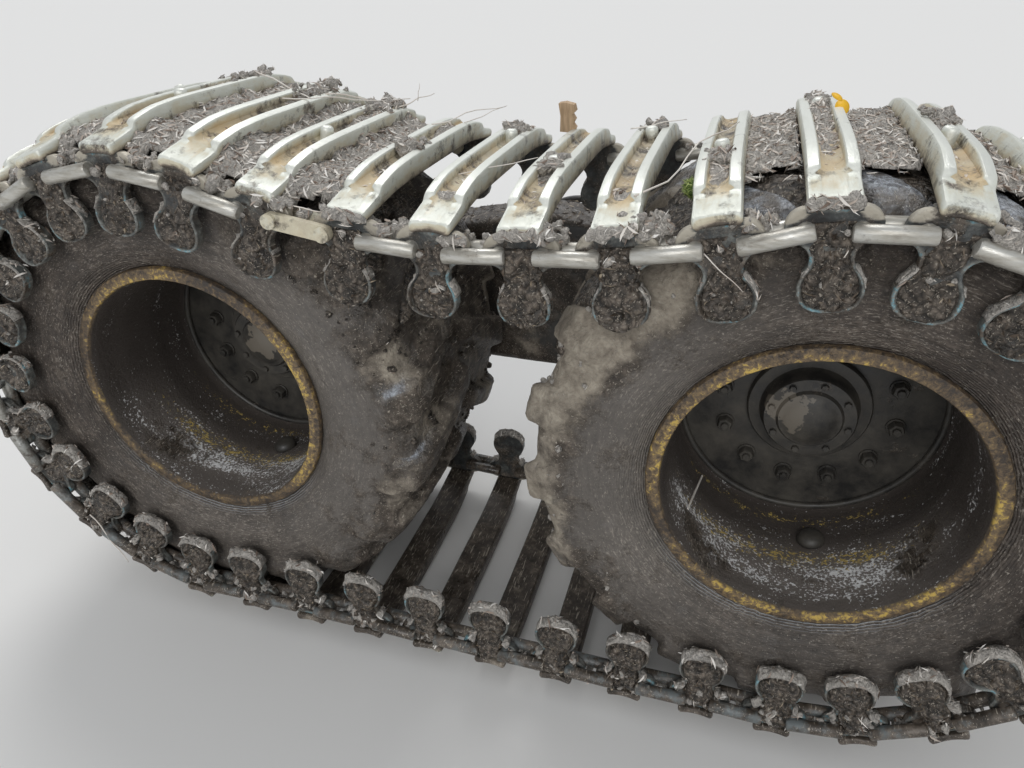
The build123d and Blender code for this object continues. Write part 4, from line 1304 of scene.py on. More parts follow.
points, faces = [], []
levels = ((0.022, 0.0), (0.010, 0.003), (0.003, 0.010), (0.0, 0.022), (0.0, 0.088), (-0.006, 0.091),
          (-0.006, 0.109), (0.0, 0.112), (0.0, 0.184), (0.005, 0.194), (0.016, 0.2))
for inset, depth in levels:
    points += [(x, case_near + depth, z) for x, z in case_outline(inset)]
around = len(case_outline(0))
for k in range(len(levels) - 1):
    faces += [(k * around + i, k * around + (i + 1) % around, (k + 1) * around + (i + 1) % around, (k + 1) * around + i)
              for i in range(around)]
faces += [tuple(range(around)), tuple(range((len(levels) - 1) * around, len(levels) * around))]
casting_box = recalculated(mesh_piece("bogie_case_casting", points, faces))
remesh = casting_box.modifiers.new("remesh", "REMESH")
remesh.mode = "VOXEL"
remesh.voxel_size = 0.0105
bpy.context.view_layer.update()
casting_box.data = bpy.data.meshes.new_from_object(
    casting_box.evaluated_get(bpy.context.evaluated_depsgraph_get())
)
casting_box.modifiers.clear()
rise = np.empty(len(casting_box.data.vertices) * 3, np.float32)
casting_box.data.vertices.foreach_get("normal", rise)
rise = rise.reshape(-1, 3)
ledge = np.clip(rise[:, 2] * 1.4 - 0.2, 0, 1)
numbers(casting_box.data, "mud", 0.06 + 0.34 * ledge + 0.10 * np.clip(-rise[:, 1], 0, 1))
numbers(casting_box.data, "bare_of_litter", (rise[:, 2] < 0.55).astype(float))
nodes_made(casting_box, caked_tree, {"Lump Depth": 0.055, "Grain Depth": 0.0030, "Lump Size": 11.0,
                                     "Finish": case_coat})
thinned(casting_box, 0.6)

housing_profile = (
    (0.0, 0.121), (0.058, 0.121), (0.062, 0.125), (0.062, 0.266), (0.068, 0.270), (0.138, 0.272),
    (0.149, 0.280), (0.150, 0.392), (0.154, 0.404), (0.164, 0.413), (0.176, 0.416), (0.210, 0.416),
    (0.215, 0.421), (0.215, 0.4395), (0.0, 0.4395),
)
cover_profile = ((0.0, 0.658), (0.036, 0.658), (0.041, 0.654), (0.041, 0.651), (0.050, 0.650), (0.132, 0.650),
                 (0.140, 0.647), (0.140, 0.6395), (0.0, 0.6395))
collar_profile = ((0.1105, 0.6395), (0.215, 0.6395), (0.215, 0.660), (0.206, 0.668), (0.200, 0.692), (0.194, 0.700),
                  (0.118, 0.700), (0.1105, 0.696))
stub_profile = ((0.0, 0.560), (0.105, 0.560), (0.110, 0.565), (0.110, 0.704), (0.113, 0.706), (0.122, 0.706),
                (0.125, 0.709), (0.125, 0.846), (0.130, 0.856), (0.140, 0.8645), (0.152, 0.867), (0.191, 0.867),
                (0.195, 0.871), (0.195, 0.8875), (0.1915, 0.891), (0.0, 0.891))
big_bolt = ((0.0150, 0), (0.0158, 0.001), (0.0158, 0.010), (0.0140, 0.0125))
outboard_bolt, inboard_bolt, small_bolt = (
    prism(6, big_bolt), prism(6, big_bolt, 1), prism(6, [(r * 0.62, y * 0.62) for r, y in big_bolt], 1),
)
bolt_seat = prism(20, ((0.0185, 0), (0.0190, 0.0006), (0.0190, 0.0022), (0.0182, 0.0028)), 1)
drain_plug = prism(6, ((0.0172, 0.005), (0.0180, 0.006), (0.0180, 0.012), (0.0165, 0.014)), 1)
plug_seat = prism(24, ((0.0225, 0), (0.0230, 0.001), (0.0230, 0.0045), (0.0222, 0.0055)), 1)
parts = {"housing": [], "cover": [], "plug": [], "trim": []}
for end, x in WHEELS.items():
    parts["housing"].append(turned_piece("housing", housing_profile, x, case_coat, 96, False))
    parts["housing"].append(ringed("housing_bolts", [outboard_bolt], 0.193, 0.4165, x, 14, 0.1, case_coat))
    parts["cover"].append(turned_piece("cover", cover_profile, x, case_coat, 96, False))
    parts["cover"].append(ringed("cover_bolts", [small_bolt], 0.118, 0.6495, x, 10, 0.2, case_coat))
    for shape, y in ((plug_seat, 0.6395), (drain_plug, 0.6395)):
        plug = recalculated(mesh_piece("plug", *shape))
        plug.data.transform(Matrix.Translation((x * 0.55, wheel_y + y, axle_z - 0.120)))
        plug.data.materials.append(case_coat)
        plug.data.shade_flat()
        parts["plug"].append(plug)
collar = turned_piece("collar", collar_profile, 0.0, case_coat, 112, True, pivot_z)
collar_bolts = ringed("collar_bolts", [bolt_seat, inboard_bolt], 0.170, 0.699, 0.0, 12, 0.13, case_coat, pivot_z)
seam = case_outline(0.030)
lengths = np.cumsum([0] + [math.dist(seam[i], seam[(i + 1) % around]) for i in range(around)])
for gone in np.linspace(0, lengths[-1], 37)[:-1]:
    i = int(np.searchsorted(lengths, gone, "right")) - 1
    share = (gone - lengths[i]) / max(1e-9, lengths[i + 1] - lengths[i])
    (x0, z0), (x1, z1) = seam[i % around], seam[(i + 1) % around]
    trim = recalculated(mesh_piece("trim", *small_bolt))
    trim.data.transform(Matrix.Translation((x0 + (x1 - x0) * share, case_far - 0.001, z0 + (z1 - z0) * share)))
    trim.data.materials.append(case_coat)
    parts["trim"].append(trim)
stub = turned_piece("axle_stub_forging", stub_profile, 0.0, case_coat, 112, False, pivot_z)
drills = joined("drills", [
    recalculated(mesh_piece("drill", *prism(24, ((0.011, 0.85), (0.011, 0.91)), 1))) for _ in range(12)
])
for k in range(12):
    turn = k * math.pi / 6
    for vertex in drills.data.vertices[k * 48:(k + 1) * 48]:
        vertex.co += Vector((0.165 * math.cos(turn), wheel_y, pivot_z + 0.165 * math.sin(turn)))
cut = stub.modifiers.new("holes", "BOOLEAN")
cut.operation, cut.object, cut.solver = "DIFFERENCE", drills, "EXACT"
bpy.context.view_layer.update()
stub.data = bpy.data.meshes.new_from_object(stub.evaluated_get(bpy.context.evaluated_depsgraph_get()))
stub.modifiers.clear()
stub.data.set_sharp_from_angle(angle=math.radians(38))
bpy.data.objects.remove(drills)
for piece, node in (
    (casting_box, "bogie_case"), (joined("axle_housings_cast", parts["housing"]), "axle_housings"),
    (joined("case_covers_bolted", parts["cover"]), "case_covers"),
    (joined("case_plugs_hexagon", parts["plug"]), "case_plugs"),
    (joined("pivot_housing_collar", [collar, collar_bolts]), "pivot_housing"), (stub, "axle_stub"),
    (joined("case_seam_bolts", parts["trim"]), None),
):
    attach(piece, "axle_stub" if node == "axle_stub" else "bogie")
    if node:
        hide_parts(node)

# Packed mud. Earth, bark and needles lie on the track between its cross members, fill the pans and the
# channels and cling to ears and links; it is wet and dark below and paler where it has dried.
muds = {}
for name, dryness, litter, paleness_and_sheen in (("packed forest mud", 0.24, 0.30, 0.0), ("needle-strewn mud", 0.60, 1.0, 0.42)):
    muds[name], tree, shader = paint_with(name, Specular_IOR_Level=0.6)
    packed = wire(tree, "ShaderNodeGroup", {
        "Scale": 1.0, "Dryness": dryness, "Litter": litter, "Crumbs": 1.0,
    }, node_tree=mud_tree)
    # The mix towards pale grey stands partly for dried mud and partly for painted sheen of wet mud.
    pale = wire(tree, "ShaderNodeMix", {
        "Factor": paleness_and_sheen, 6: packed.outputs["Colour"], 7: (0.68, 0.66, 0.635, 1),
    }, data_type="RGBA")
    tree.links.new(pale.outputs[2], shader.inputs["Base Color"])
    tree.links.new(packed.outputs["Roughness"], shader.inputs["Roughness"])
    tree.links.new(wire(tree, "ShaderNodeBump", {
        "Height": packed.outputs["Height"], "Strength": 1.0, "Distance": 0.014,
    }).outputs[0], shader.inputs["Normal"])
earth_mud, needle_mud = muds.values()


def on_track(distance, across, outward, along=0.0):
    """A point at a distance along the loop, across the track and outward from its pins."""
    x, z, slope = on_loop(distance)
    return Vector((
        x - outward * math.sin(slope) + along * math.cos(slope), wheel_y + across,
        z + outward * math.cos(slope) + along * math.sin(slope),
    ))


def blankets(name, sheets, finish=earth_mud, body="bogie"):
    """Closed mud blankets, each from a lower and an upper grid of points and the cells that are kept."""
    all_points, all_faces, unseen = [], [], []
    for lower, upper, kept in sheets:
        base, rows, columns = len(all_points), len(lower), len(lower[0])
        size = rows * columns
        unseen += [1.0] * size + [0.0] * size
        for grid in (lower, upper):
            for row in grid:
                all_points += row
        for j in range(rows - 1):
            for i in range(columns - 1):
                if not kept[j][i]:
                    continue
                a = base + j * columns + i
                corners = (a, a + 1, a + columns + 1, a + columns)
                all_faces += [corners[::-1], tuple(c + size for c in corners)]
                beside = ((j - 1, i), (j, i + 1), (j + 1, i), (j, i - 1))
                for k, (nj, ni) in enumerate(beside):
                    if not (0 <= nj < rows - 1 and 0 <= ni < columns - 1 and kept[nj][ni]):
                        b, c = corners[k], corners[(k + 1) % 4]
                        all_faces.append((b, c, c + size, b + size))
    piece = mesh_piece(name, all_points, all_faces)
    numbers(piece.data, "bare_of_litter", unseen)
    bm = bmesh.new()
    bm.from_mesh(piece.data)
    bmesh.ops.delete(bm, geom=[v for v in bm.verts if not v.link_faces], context="VERTS")
    bm.to_mesh(piece.data)
    bm.free()
    recalculated(piece)
    thinned(piece, 0.5)
    piece.data.materials.append(finish)
    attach(piece, body)
    return piece


def lumpy(point, size, detail=4):
    """Uneven heights between about -1 and 1, the same at the same point of space."""
    return noise.fractal(point / size, 0.75, 2.1, detail) * 1.5


# Beds between the cross members, over both wheels; they hang a little over the tyres' shoulders and
# thin out towards ragged ends, clear of the lugs that turn below them
clear_of_lugs = ((0.0, 0.0525), (0.290, 0.0525), (0.336, 0.0410), (0.354, 0.0290), (0.372, 0.0080))
lug_y, lug_v = zip(*clear_of_lugs)
sheets = []
for k in range(member_count):
    start, stop = member_places[k] + 0.0425, (member_places + [member_places[0] + loop])[k + 1] - 0.0425
    middle = ((start + stop) / 2 + loop / 2) % loop - loop / 2
    if not sag_run / 2 - (0.10 if middle > 0 else 0.36) < abs(middle) < sag_run / 2 + wrap + 0.05:
        continue
    on_front = middle > 0
    lower, upper, kept = [], [], []
    near_end, far_end = (-0.30 if on_front else -0.368), 0.360
    for t in np.linspace(0, 1, 64):
        low_row, high_row, keep_row = [], [], []
        for a in np.linspace(0, 1, 9):
            distance = start + (stop - start) * a
            u = near_end + (far_end - near_end) * t
            base = np.interp(abs(u), lug_y, lug_v)
            place = on_track(distance, u, 0.055)
            ragged = 0.085 * lumpy(place, 0.16, 3) + 0.030 * lumpy(place, 0.024, 4)
            bank = 0.05 * abs(2 * a - 1) ** 2
            left = u + bank - (-0.185 if on_front else -0.352) + (ragged if on_front else 0.2 * ragged)
            right = 0.350 - u + 0.35 * ragged
            thin = min(1, max(0, left / 0.09 if on_front else left / 0.02), max(0, right / 0.05))
            depth = 0.016 if on_front else 0.021
            rise = depth * (0.75 + 0.5 * lumpy(place, 0.11)) + 0.010 * lumpy(place, 0.022, 5)
            rise += 0.010 * abs(2 * a - 1) ** 3
            low_row.append(on_track(distance, u, base))
            high_row.append(on_track(distance, u, base + max(0.0012, rise * thin**(1.1 if on_front else 0.6))))
            keep_row.append(thin > 0)
        lower.append(low_row)
        upper.append(high_row)
        kept.append(keep_row)
    sheets.append((lower, upper, kept))
beds = blankets("track_mud_beds", sheets, needle_mud)

# Fill of the pans, inside their rims and up the necks
outline_v = np.array([v for _, v in pan_outline])[::-1]
outline_w = np.array([w for w, _ in pan_outline])[::-1]
sheets = []
for k, place in enumerate(member_places):
    for side in (-1, 1):
        buried = k in (0, 2, 3) and side == -1
        full = 0.0035 + 0.0035 * noise.noise(Vector((k * 2.3, side * 5.0, 1.0))) + 0.0085 * buried
        full += 0.010 * (on_loop(place)[1] < axle_z - 0.45)
        lower, upper = [], []
        for v in np.linspace(-0.1500 if buried else -0.1455, 0.012, 18):
            half = np.interp(v, outline_v, outline_w) - (-0.0015 if buried else 0.0062) if v < -0.0285 else 0.034
            low_row, high_row = [], []
            for a in np.linspace(-1, 1, 10):
                w = a * half
                edge_thin = min(1, (1 - abs(a)) * 4 + 0.25)
                spot = on_track(place, side * plate_out, v, w)
                pan_share = min(1, max(0, (-v - 0.045) / 0.03))
                rise = full + 0.0042 * pan_share + 0.0085 * lumpy(spot, 0.040) + 0.0050 * lumpy(spot, 0.013, 4)
                reach = plate_out + plate_thick
                low_row.append(on_track(place, side * (reach - 0.004), v, w))
                high_row.append(on_track(place, side * (reach - 0.002 + max(0, rise + 0.002) * edge_thin), v, w))
            lower.append(low_row)
            upper.append(high_row)
        sheets.append((lower, upper, np.ones((17, 9), bool)))
pan_mud = blankets("track_pan_mud", sheets)

# Caps of mud on whatever faces up of the plates' rims, thickest on the ground run
sheets = []
rim_line = np.array(list(pan_outline) + [(0.0, -0.1495)] + [(-w, v) for w, v in pan_outline[::-1]])
gone = np.concatenate(([0], np.cumsum(np.linalg.norm(np.diff(rim_line, axis=0), axis=1))))
steps_on = np.linspace(0, gone[-1], 41)
rim_line = np.stack([np.interp(steps_on, gone, rim_line[:, c]) for c in (0, 1)], 1)
rim_out = np.gradient(rim_line, axis=0) @ np.array(((0, -1), (1, 0)))
rim_out /= np.linalg.norm(rim_out, axis=1)[:, None]
rim_out *= np.sign(rim_out[20] @ np.array((0, -1)))
for k, place in enumerate(member_places):
    slope = on_loop(place)[2]
    deep = 0.017 if on_loop(place)[1] < axle_z - 0.30 else 0.004
    for side in (-1, 1):
        lower, upper, kept = [], [], []
        for (w, v), (out_w, out_v) in zip(rim_line, rim_out):
            level_up = max(0, out_w * math.sin(slope) + out_v * math.cos(slope) - 0.25) / 0.75
            low_row, high_row = [], []
            for across in np.linspace(-0.001, 0.0295, 5):
                u = side * (plate_out + across)
                spot = on_track(place, u, v, w)
                arch = 1 - 0.45 * abs(across - 0.014) / 0.015
                tall = deep * level_up**0.7 * arch * (0.8 + 0.55 * lumpy(spot, 0.035)) + 0.003 * lumpy(spot, 0.012, 4)
                low_row.append(on_track(place, u, v - out_v * 0.002, w - out_w * 0.002))
                high_row.append(on_track(place, u, v + out_v * max(0.0004, tall), w + out_w * max(0.0004, tall)))
            lower.append(low_row)
            upper.append(high_row)
            kept.append([level_up > 0.08] * 4)
        sheets.append((lower, upper, kept))
rim_mud = blankets("track_rim_mud", sheets, needle_mud)

# Drifts in the channels: a thin film everywhere and heaps where the photographed ones lie
heaps = {
    0: ((0.16, 0.07, 0.022),), 1: ((0.22, 0.05, 0.026), (-0.30, 0.02, 0.010)), 2: ((-0.12, 0.06, 0.032),),
    3: ((0.24, 0.05, 0.022), (-0.29, 0.03, 0.008)), 4: ((-0.18, 0.05, 0.024), (-0.26, 0.04, 0.012)),
    5: ((0.10, 0.15, 0.026), (-0.16, 0.06, 0.010)), 6: ((0.02, 0.10, 0.030),), 7: ((0.05, 0.13, 0.028),),
    37: ((0.13, 0.10, 0.022),), 36: ((0.16, 0.10, 0.026),), 35: ((0.10, 0.11, 0.024),), 34: ((0.06, 0.14, 0.026),),
}
member_table = np.array(member_run)
sheets = []
for k, place in enumerate(member_places):
    ground_run = on_loop(place)[1] < axle_z - 0.5
    lower, upper = [], []
    for u in np.linspace(-0.322, 0.322, 53):
        top, floor = (np.interp(abs(u), member_table[:, 0], member_table[:, c]) for c in (1, 2))
        heap = sum(h * math.exp(-((u - c) / s) ** 2) for c, s, h in heaps.get(k, ()))
        if k not in heaps:
            heap = 0.022 if ground_run else 0.014 * max(0, lumpy(Vector((k * 3.1, u, 0)), 0.12) + 0.15)
        low_row, high_row = [], []
        for a in np.linspace(-1, 1, 7):
            w = a * 0.0212
            spot = on_track(place, u, 0.085, w)
            rise = heap * (0.85 + 0.5 * lumpy(spot, 0.05)) + 0.004 * lumpy(spot, 0.014, 4) * min(1, heap / 0.01) - 0.0022
            rise = min(rise, top - floor + (0.001 if ground_run else 0.012) * (1 - a * a))
            low_row.append(on_track(place, u, floor - 0.005, w))
            high_row.append(on_track(place, u, floor + max(-0.0030, rise), w))
        lower.append(low_row)
        upper.append(high_row)
    sheets.append((lower, upper, np.ones((52, 6), bool)))
channel_mud = blankets("track_channel_mud", sheets, needle_mud)

# Fill between the lugs, on top of both tyres, just below the lugs' tops
for end, x in WHEELS.items():
    lower, upper = [], []
    for angle in np.radians(np.linspace(24, 156, 84)):
        low_row, high_row = [], []
        out_x, out_z = math.cos(angle), math.sin(angle)
        for u in np.linspace(-0.305, 0.305, 31):
            spot = Vector((x + 0.64 * out_x, wheel_y + u, axle_z + 0.64 * out_z))
            level = np.interp(abs(u), (0.0, 0.20, 0.24, 0.29, 0.305), (0.648, 0.652, 0.650, 0.636, 0.612))
            level += 0.006 * lumpy(spot, 0.06) + 0.004 * lumpy(spot, 0.018, 4)
            level = min(level, 0.657)
            low_row.append(Vector((x + 0.606 * out_x, wheel_y + u * 0.97, axle_z + 0.606 * out_z)))
            high_row.append(Vector((x + level * out_x, wheel_y + u, axle_z + level * out_z)))
        lower.append(low_row)
        upper.append(high_row)
    blankets(f"tyre_{end}_lug_fill", [(lower, upper, np.ones((83, 30), bool))], earth_mud, f"wheel_{end}")

# Clod tree: sets a crumb of earth on every point, turned at random and sized by the point's number
clod_tree, given, out = new_tree(
    "crumbs of earth", "GeometryNodeTree",
    {"Geometry": ("Geometry", None), "Seed": ("Int", 4), "Relief": ("Float", 0.35),
     "Finish": ("Material", None)},
    {"Geometry": ("Geometry", None)},
)
ball = wire(clod_tree, "GeometryNodeMeshIcoSphere", {"Radius": 1.0, "Subdivisions": 2})
any_turn = wire(clod_tree, "FunctionNodeRandomValue", {
    "Min": (0, 0, 0), "Max": (6.28, 6.28, 6.28), "Seed": given.outputs["Seed"],
}, data_type="FLOAT_VECTOR")
any_shape = wire(clod_tree, "FunctionNodeRandomValue", {
    "Min": (0.65, 0.65, 0.45), "Max": (1.25, 1.1, 0.95), "Seed": given.outputs["Seed"],
}, data_type="FLOAT_VECTOR")
extent = wire(clod_tree, "GeometryNodeInputNamedAttribute", {"Name": "extent"}, data_type="FLOAT")
crumb_size = wire(clod_tree, "ShaderNodeVectorMath", {0: any_shape.outputs[0], 3: extent.outputs[0]},
                  operation="SCALE")
crumbs = wire(clod_tree, "GeometryNodeInstanceOnPoints", {
    "Points": given.outputs["Geometry"], "Instance": ball.outputs["Mesh"],
    "Rotation": any_turn.outputs[0], "Scale": crumb_size.outputs[0],
})
real = wire(clod_tree, "GeometryNodeRealizeInstances", {"Geometry": crumbs.outputs[0]})
coarse = wire(clod_tree, "ShaderNodeTexNoise", {"Scale": 75.0, "Detail": 3, "Roughness": 0.6})
broken = wire(clod_tree, "ShaderNodeMath", {
    0: wire(clod_tree, "ShaderNodeMath", {0: coarse.outputs["Fac"], 1: 0.5}, operation="SUBTRACT").outputs[0],
    1: wire(clod_tree, "ShaderNodeMath", {0: given.outputs["Relief"], 1: 0.04}, operation="MULTIPLY").outputs[0],
}, operation="MULTIPLY")
outward = wire(clod_tree, "ShaderNodeVectorMath", {
    0: wire(clod_tree, "GeometryNodeInputNormal").outputs[0], 3: broken.outputs[0],
}, operation="SCALE")
moved = wire(clod_tree, "GeometryNodeSetPosition", {"Geometry": real.outputs[0], "Offset": outward.outputs[0]})
finished = wire(clod_tree, "GeometryNodeSetMaterial", {
    "Geometry": moved.outputs[0], "Material": given.outputs["Finish"],
})
clod_tree.links.new(finished.outputs[0], out.inputs[0])

# Crumbs: loose clods on ears, links, tongues and pans, thickest round the clumps of the photograph
chance = np.random.default_rng(41)
crumb_rows = []


def crumb_heap(distance, u, v, spread, count, low=0.004, high=0.013):
    """Loose crumbs about a point of the track; spread is along, across and outward."""
    for _ in range(count):
        along, across, outward = np.clip(chance.normal(0, 1, 3), -1.6, 1.6) * spread
        size = low + (high - low) * chance.random() ** 2
        crumb_rows.append((*on_track(distance, u + across, v + abs(outward), along), size))


for k, place in enumerate(member_places):
    for side in (-1, 1):
        crumb_heap(place + pitch / 2, side * 0.372, 0.006, (0.030, 0.012, 0.007), int(chance.integers(3, 11)))
        crumb_heap(place, side * 0.410, -0.012, (0.026, 0.004, 0.012), int(chance.integers(2, 7)))
        crumb_heap(place, side * 0.399, -0.115, (0.026, 0.003, 0.030), int(chance.integers(2, 7)), 0.003, 0.008)
for k, along, u, v, spread, count in (
    (2, 0.052, -0.372, 0.020, (0.020, 0.022, 0.018), 60), (3, 0.058, -0.358, 0.024, (0.026, 0.026, 0.020), 80),
    (2, 0.0, -0.13, 0.100, (0.020, 0.030, 0.008), 46), (1, 0.0, 0.20, 0.104, (0.018, 0.026, 0.008), 40),
    (3, 0.0, 0.19, 0.106, (0.018, 0.020, 0.008), 34), (4, 0.0, -0.17, 0.098, (0.018, 0.030, 0.006), 40),
    (0, 0.07, -0.37, 0.012, (0.03, 0.02, 0.012), 30), (37, 0.03, -0.385, 0.030, (0.03, 0.02, 0.012), 30),
    (6, 0.0, 0.02, 0.104, (0.018, 0.030, 0.010), 46), (5, 0.0, 0.20, 0.104, (0.014, 0.05, 0.006), 40),
    (6, 0.07, -0.40, 0.006, (0.02, 0.008, 0.016), 34), (6, 0.10, -0.36, 0.022, (0.03, 0.02, 0.012), 34),
    (1, 0.05, -0.385, 0.014, (0.02, 0.02, 0.010), 26), (4, 0.06, -0.37, 0.016, (0.02, 0.02, 0.010), 24),
    (36, 0.07, -0.37, 0.018, (0.03, 0.02, 0.010), 34), (35, 0.07, -0.37, 0.018, (0.03, 0.02, 0.010), 34),
    (34, 0.07, -0.37, 0.018, (0.03, 0.02, 0.010), 34), (33, 0.07, -0.37, 0.018, (0.03, 0.02, 0.010), 34),
    (5, 0.0, -0.418, 0.044, (0.024, 0.002, 0.006), 60), (2, 0.0, -0.416, 0.040, (0.024, 0.002, 0.006), 46),
    (3, 0.0, -0.416, 0.040, (0.024, 0.002, 0.006), 46), (0, 0.0, -0.416, 0.040, (0.024, 0.002, 0.008), 50),
    (0, 0.0, -0.09, 0.104, (0.020, 0.030, 0.010), 50), (37, 0.0, 0.22, 0.104, (0.020, 0.060, 0.008), 50),
    (36, 0.0, 0.20, 0.104, (0.022, 0.080, 0.008), 60), (35, 0.0, 0.20, 0.104, (0.022, 0.080, 0.008), 60),
):
    crumb_heap(member_places[k] + along, u, v, spread, count, 0.004, 0.012)
    crumb_heap(member_places[k] + along, u, v - 0.004, np.array(spread) * 0.55, count // 8, 0.013, 0.022)
for k, place in enumerate(member_places):
    if on_loop(place)[1] < axle_z - 0.45:
        crumb_heap(place, -0.403, -0.040, (0.036, 0.006, 0.040), 20, 0.004, 0.011)
        crumb_heap(place + pitch / 2, -0.380, -0.010, (0.040, 0.014, 0.030), 24, 0.004, 0.012)


def fused_crumbs(name, rows, body, finish, grain, grounds):
    """Crumbs of (x, y, z, size) run together into lumps of mud, kept where they touch their ground."""
    piece = mesh_piece(name, [row[:3] for row in rows], [])
    numbers(piece.data, "extent", [row[3] for row in rows])
    nodes_made(piece, clod_tree, {"Finish": finish})
    fuse = piece.modifiers.new("fuse", "REMESH")
    fuse.mode = "VOXEL"
    fuse.voxel_size = grain
    bpy.context.view_layer.update()
    fused = bpy.data.meshes.new_from_object(piece.evaluated_get(bpy.context.evaluated_depsgraph_get()))
    piece.modifiers.clear()
    piece.data = fused
    under = [BVHTree.FromObject(ground, bpy.context.evaluated_depsgraph_get()) for ground in grounds]
    bm = bmesh.new()
    bm.from_mesh(fused)
    reached, loose = set(), []
    for first in bm.verts:
        if first in reached:
            continue
        reached.add(first)
        lump, edge_of = [], [first]
        while edge_of:
            vertex = edge_of.pop()
            lump.append(vertex)
            for edge in vertex.link_edges:
                other = edge.other_vert(vertex)
                if other not in reached:
                    reached.add(other)
                    edge_of.append(other)
        if not any(tree.find_nearest(vertex.co, 0.0025)[0] for vertex in lump[::3] for tree in under):
            loose += lump
    bmesh.ops.delete(bm, geom=loose, context="VERTS")
    bm.to_mesh(fused)
    bm.free()
    numbers(fused, "mud", np.full(len(fused.vertices), 1.0))
    nodes_made(piece, caked_tree, {"Lump Depth": 0.010, "Grain Depth": 0.0095, "Lump Size": 45.0, "Finish": finish})
    thinned(piece, 0.25)
    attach(piece, body)
    return piece


def off_tyres(x, y, z, size):
    """Whether a crumb on the track keeps clear of the lugs as they turn."""
    side = abs(y - wheel_y) - size
    return all(
        math.hypot(x - axle_x, z - axle_z) - 1.2 * size > np.interp(
            side, (0.285, 0.324, 0.335, 0.357, 0.366, 0.372), (0.668, 0.655, 0.630, 0.597, 0.577, 0.0))
        for axle_x in WHEELS.values()
    )


stud_tops = [on_track(member_places[k], u, 0.118) for k, u in ((1, 0.15), (3, 0.15), (4, -0.105), (5, 0.15), (6, -0.105))]
crumb_rows = [
    row for row in crumb_rows
    if row[2] > row[3] + 0.001 and row[1] - row[3] > -0.668 and off_tyres(*row)
    and all((Vector(row[:3]) - top).length > 0.021 + row[3] for top in stud_tops)
]
track_pieces = [piece for piece in scene.objects if piece.name.startswith("track_")]
crumb_piece = fused_crumbs("track_mud_crumbs", crumb_rows, "bogie", needle_mud, 0.0034, track_pieces)

# Clods on the shoulders of the tyres where they face each other, clear of the plates and the track
tyre_crumbs = []
for end, x in WHEELS.items():
    spots = points_of(bpy.data.objects[f"tyre_{end}_rubber"].data)
    away = spots - np.array((x, wheel_y, axle_z))
    distance = np.hypot(away[:, 0], away[:, 2])
    bearing = np.degrees(np.arctan2(away[:, 2], -away[:, 0] * np.sign(x)))
    likely = np.clip((72 - np.abs(bearing - 4)) / 40, 0, 1) * np.clip((distance - 0.515) / 0.05, 0, 1)
    likely *= (distance < 0.636) * (away[:, 1] < 0.30) * (0.55 if end == "front" else 1.0)
    likely += 0.42 * (away[:, 2] > 0.30) * (distance > 0.585) * (distance < 0.640) * (np.abs(away[:, 1]) < 0.325)
    rows = []
    for i in chance.permutation(np.flatnonzero(likely > 0)):
        wanted = likely[i] * (0.5 + 1.3 * lumpy(Vector(spots[i]), 0.09, 3))
        if chance.random() * 3.2 < wanted:
            size = 0.0035 + 0.0075 * chance.random() ** 2
            reach = abs(away[i, 1]) + 1.2 * size + 0.004
            if reach < 0.344 or (reach < 0.374 and distance[i] + 1.2 * size < 0.590):
                rows.append((*spots[i], size))
        if len(rows) == 2600:
            break
    dried = needle_mud if end == "front" else earth_mud
    tyre_crumbs.append(fused_crumbs(f"tyre_{end}_mud_clods", rows, f"wheel_{end}", dried, 0.0046,
                                    [bpy.data.objects[f"tyre_{end}_rubber"]]))

# Litter. Spruce needles, bark chips and a few twigs lie over the mud, straw pale to brown.
litter_tree, given, out = new_tree(
    "litter on mud", "GeometryNodeTree",
    {"Geometry": ("Geometry", None), "Piece": ("Object", None), "Density": ("Float", 1000.0),
     "Smallest": ("Float", 0.6), "Largest": ("Float", 1.3), "Tilt": ("Float", 0.5), "Seed": ("Int", 1),
     "Finish": ("Material", None)},
    {"Geometry": ("Geometry", None)},
)
unlittered = wire(litter_tree, "GeometryNodeInputNamedAttribute", {"Name": "bare_of_litter"}, data_type="FLOAT")
scattered = wire(litter_tree, "GeometryNodeDistributePointsOnFaces", {
    "Mesh": given.outputs["Geometry"], "Density": given.outputs["Density"], "Seed": given.outputs["Seed"],
    "Selection": wire(litter_tree, "ShaderNodeMath", {0: unlittered.outputs[0], 1: 0.4}, operation="LESS_THAN").outputs[0],
}, distribute_method="RANDOM")
one = wire(litter_tree, "GeometryNodeObjectInfo", {"Object": given.outputs["Piece"]})
size = wire(litter_tree, "FunctionNodeRandomValue", {
    "Min": given.outputs["Smallest"], "Max": given.outputs["Largest"], "Seed": given.outputs["Seed"],
}, data_type="FLOAT")
laid_down = wire(litter_tree, "GeometryNodeInstanceOnPoints", {
    "Points": scattered.outputs["Points"], "Instance": one.outputs["Geometry"],
    "Rotation": scattered.outputs["Rotation"], "Scale": size.outputs[1],
})
lowest_tilt = wire(litter_tree, "ShaderNodeMath", {0: given.outputs["Tilt"], 1: -1.0}, operation="MULTIPLY")
turns = wire(litter_tree, "FunctionNodeRandomValue", {
    "Min": wire(litter_tree, "ShaderNodeCombineXYZ", {"X": lowest_tilt.outputs[0], "Y": lowest_tilt.outputs[0]}).outputs[0],
    "Max": wire(litter_tree, "ShaderNodeCombineXYZ", {
        "X": given.outputs["Tilt"], "Y": given.outputs["Tilt"], "Z": 6.283,
    }).outputs[0],
    "Seed": given.outputs["Seed"],
}, data_type="FLOAT_VECTOR")
strewn = wire(litter_tree, "GeometryNodeRotateInstances", {
    "Instances": laid_down.outputs[0], "Rotation": turns.outputs[0],
})
tone = wire(litter_tree, "FunctionNodeRandomValue", {"Min": 0.0, "Max": 1.0, "Seed": 23}, data_type="FLOAT")
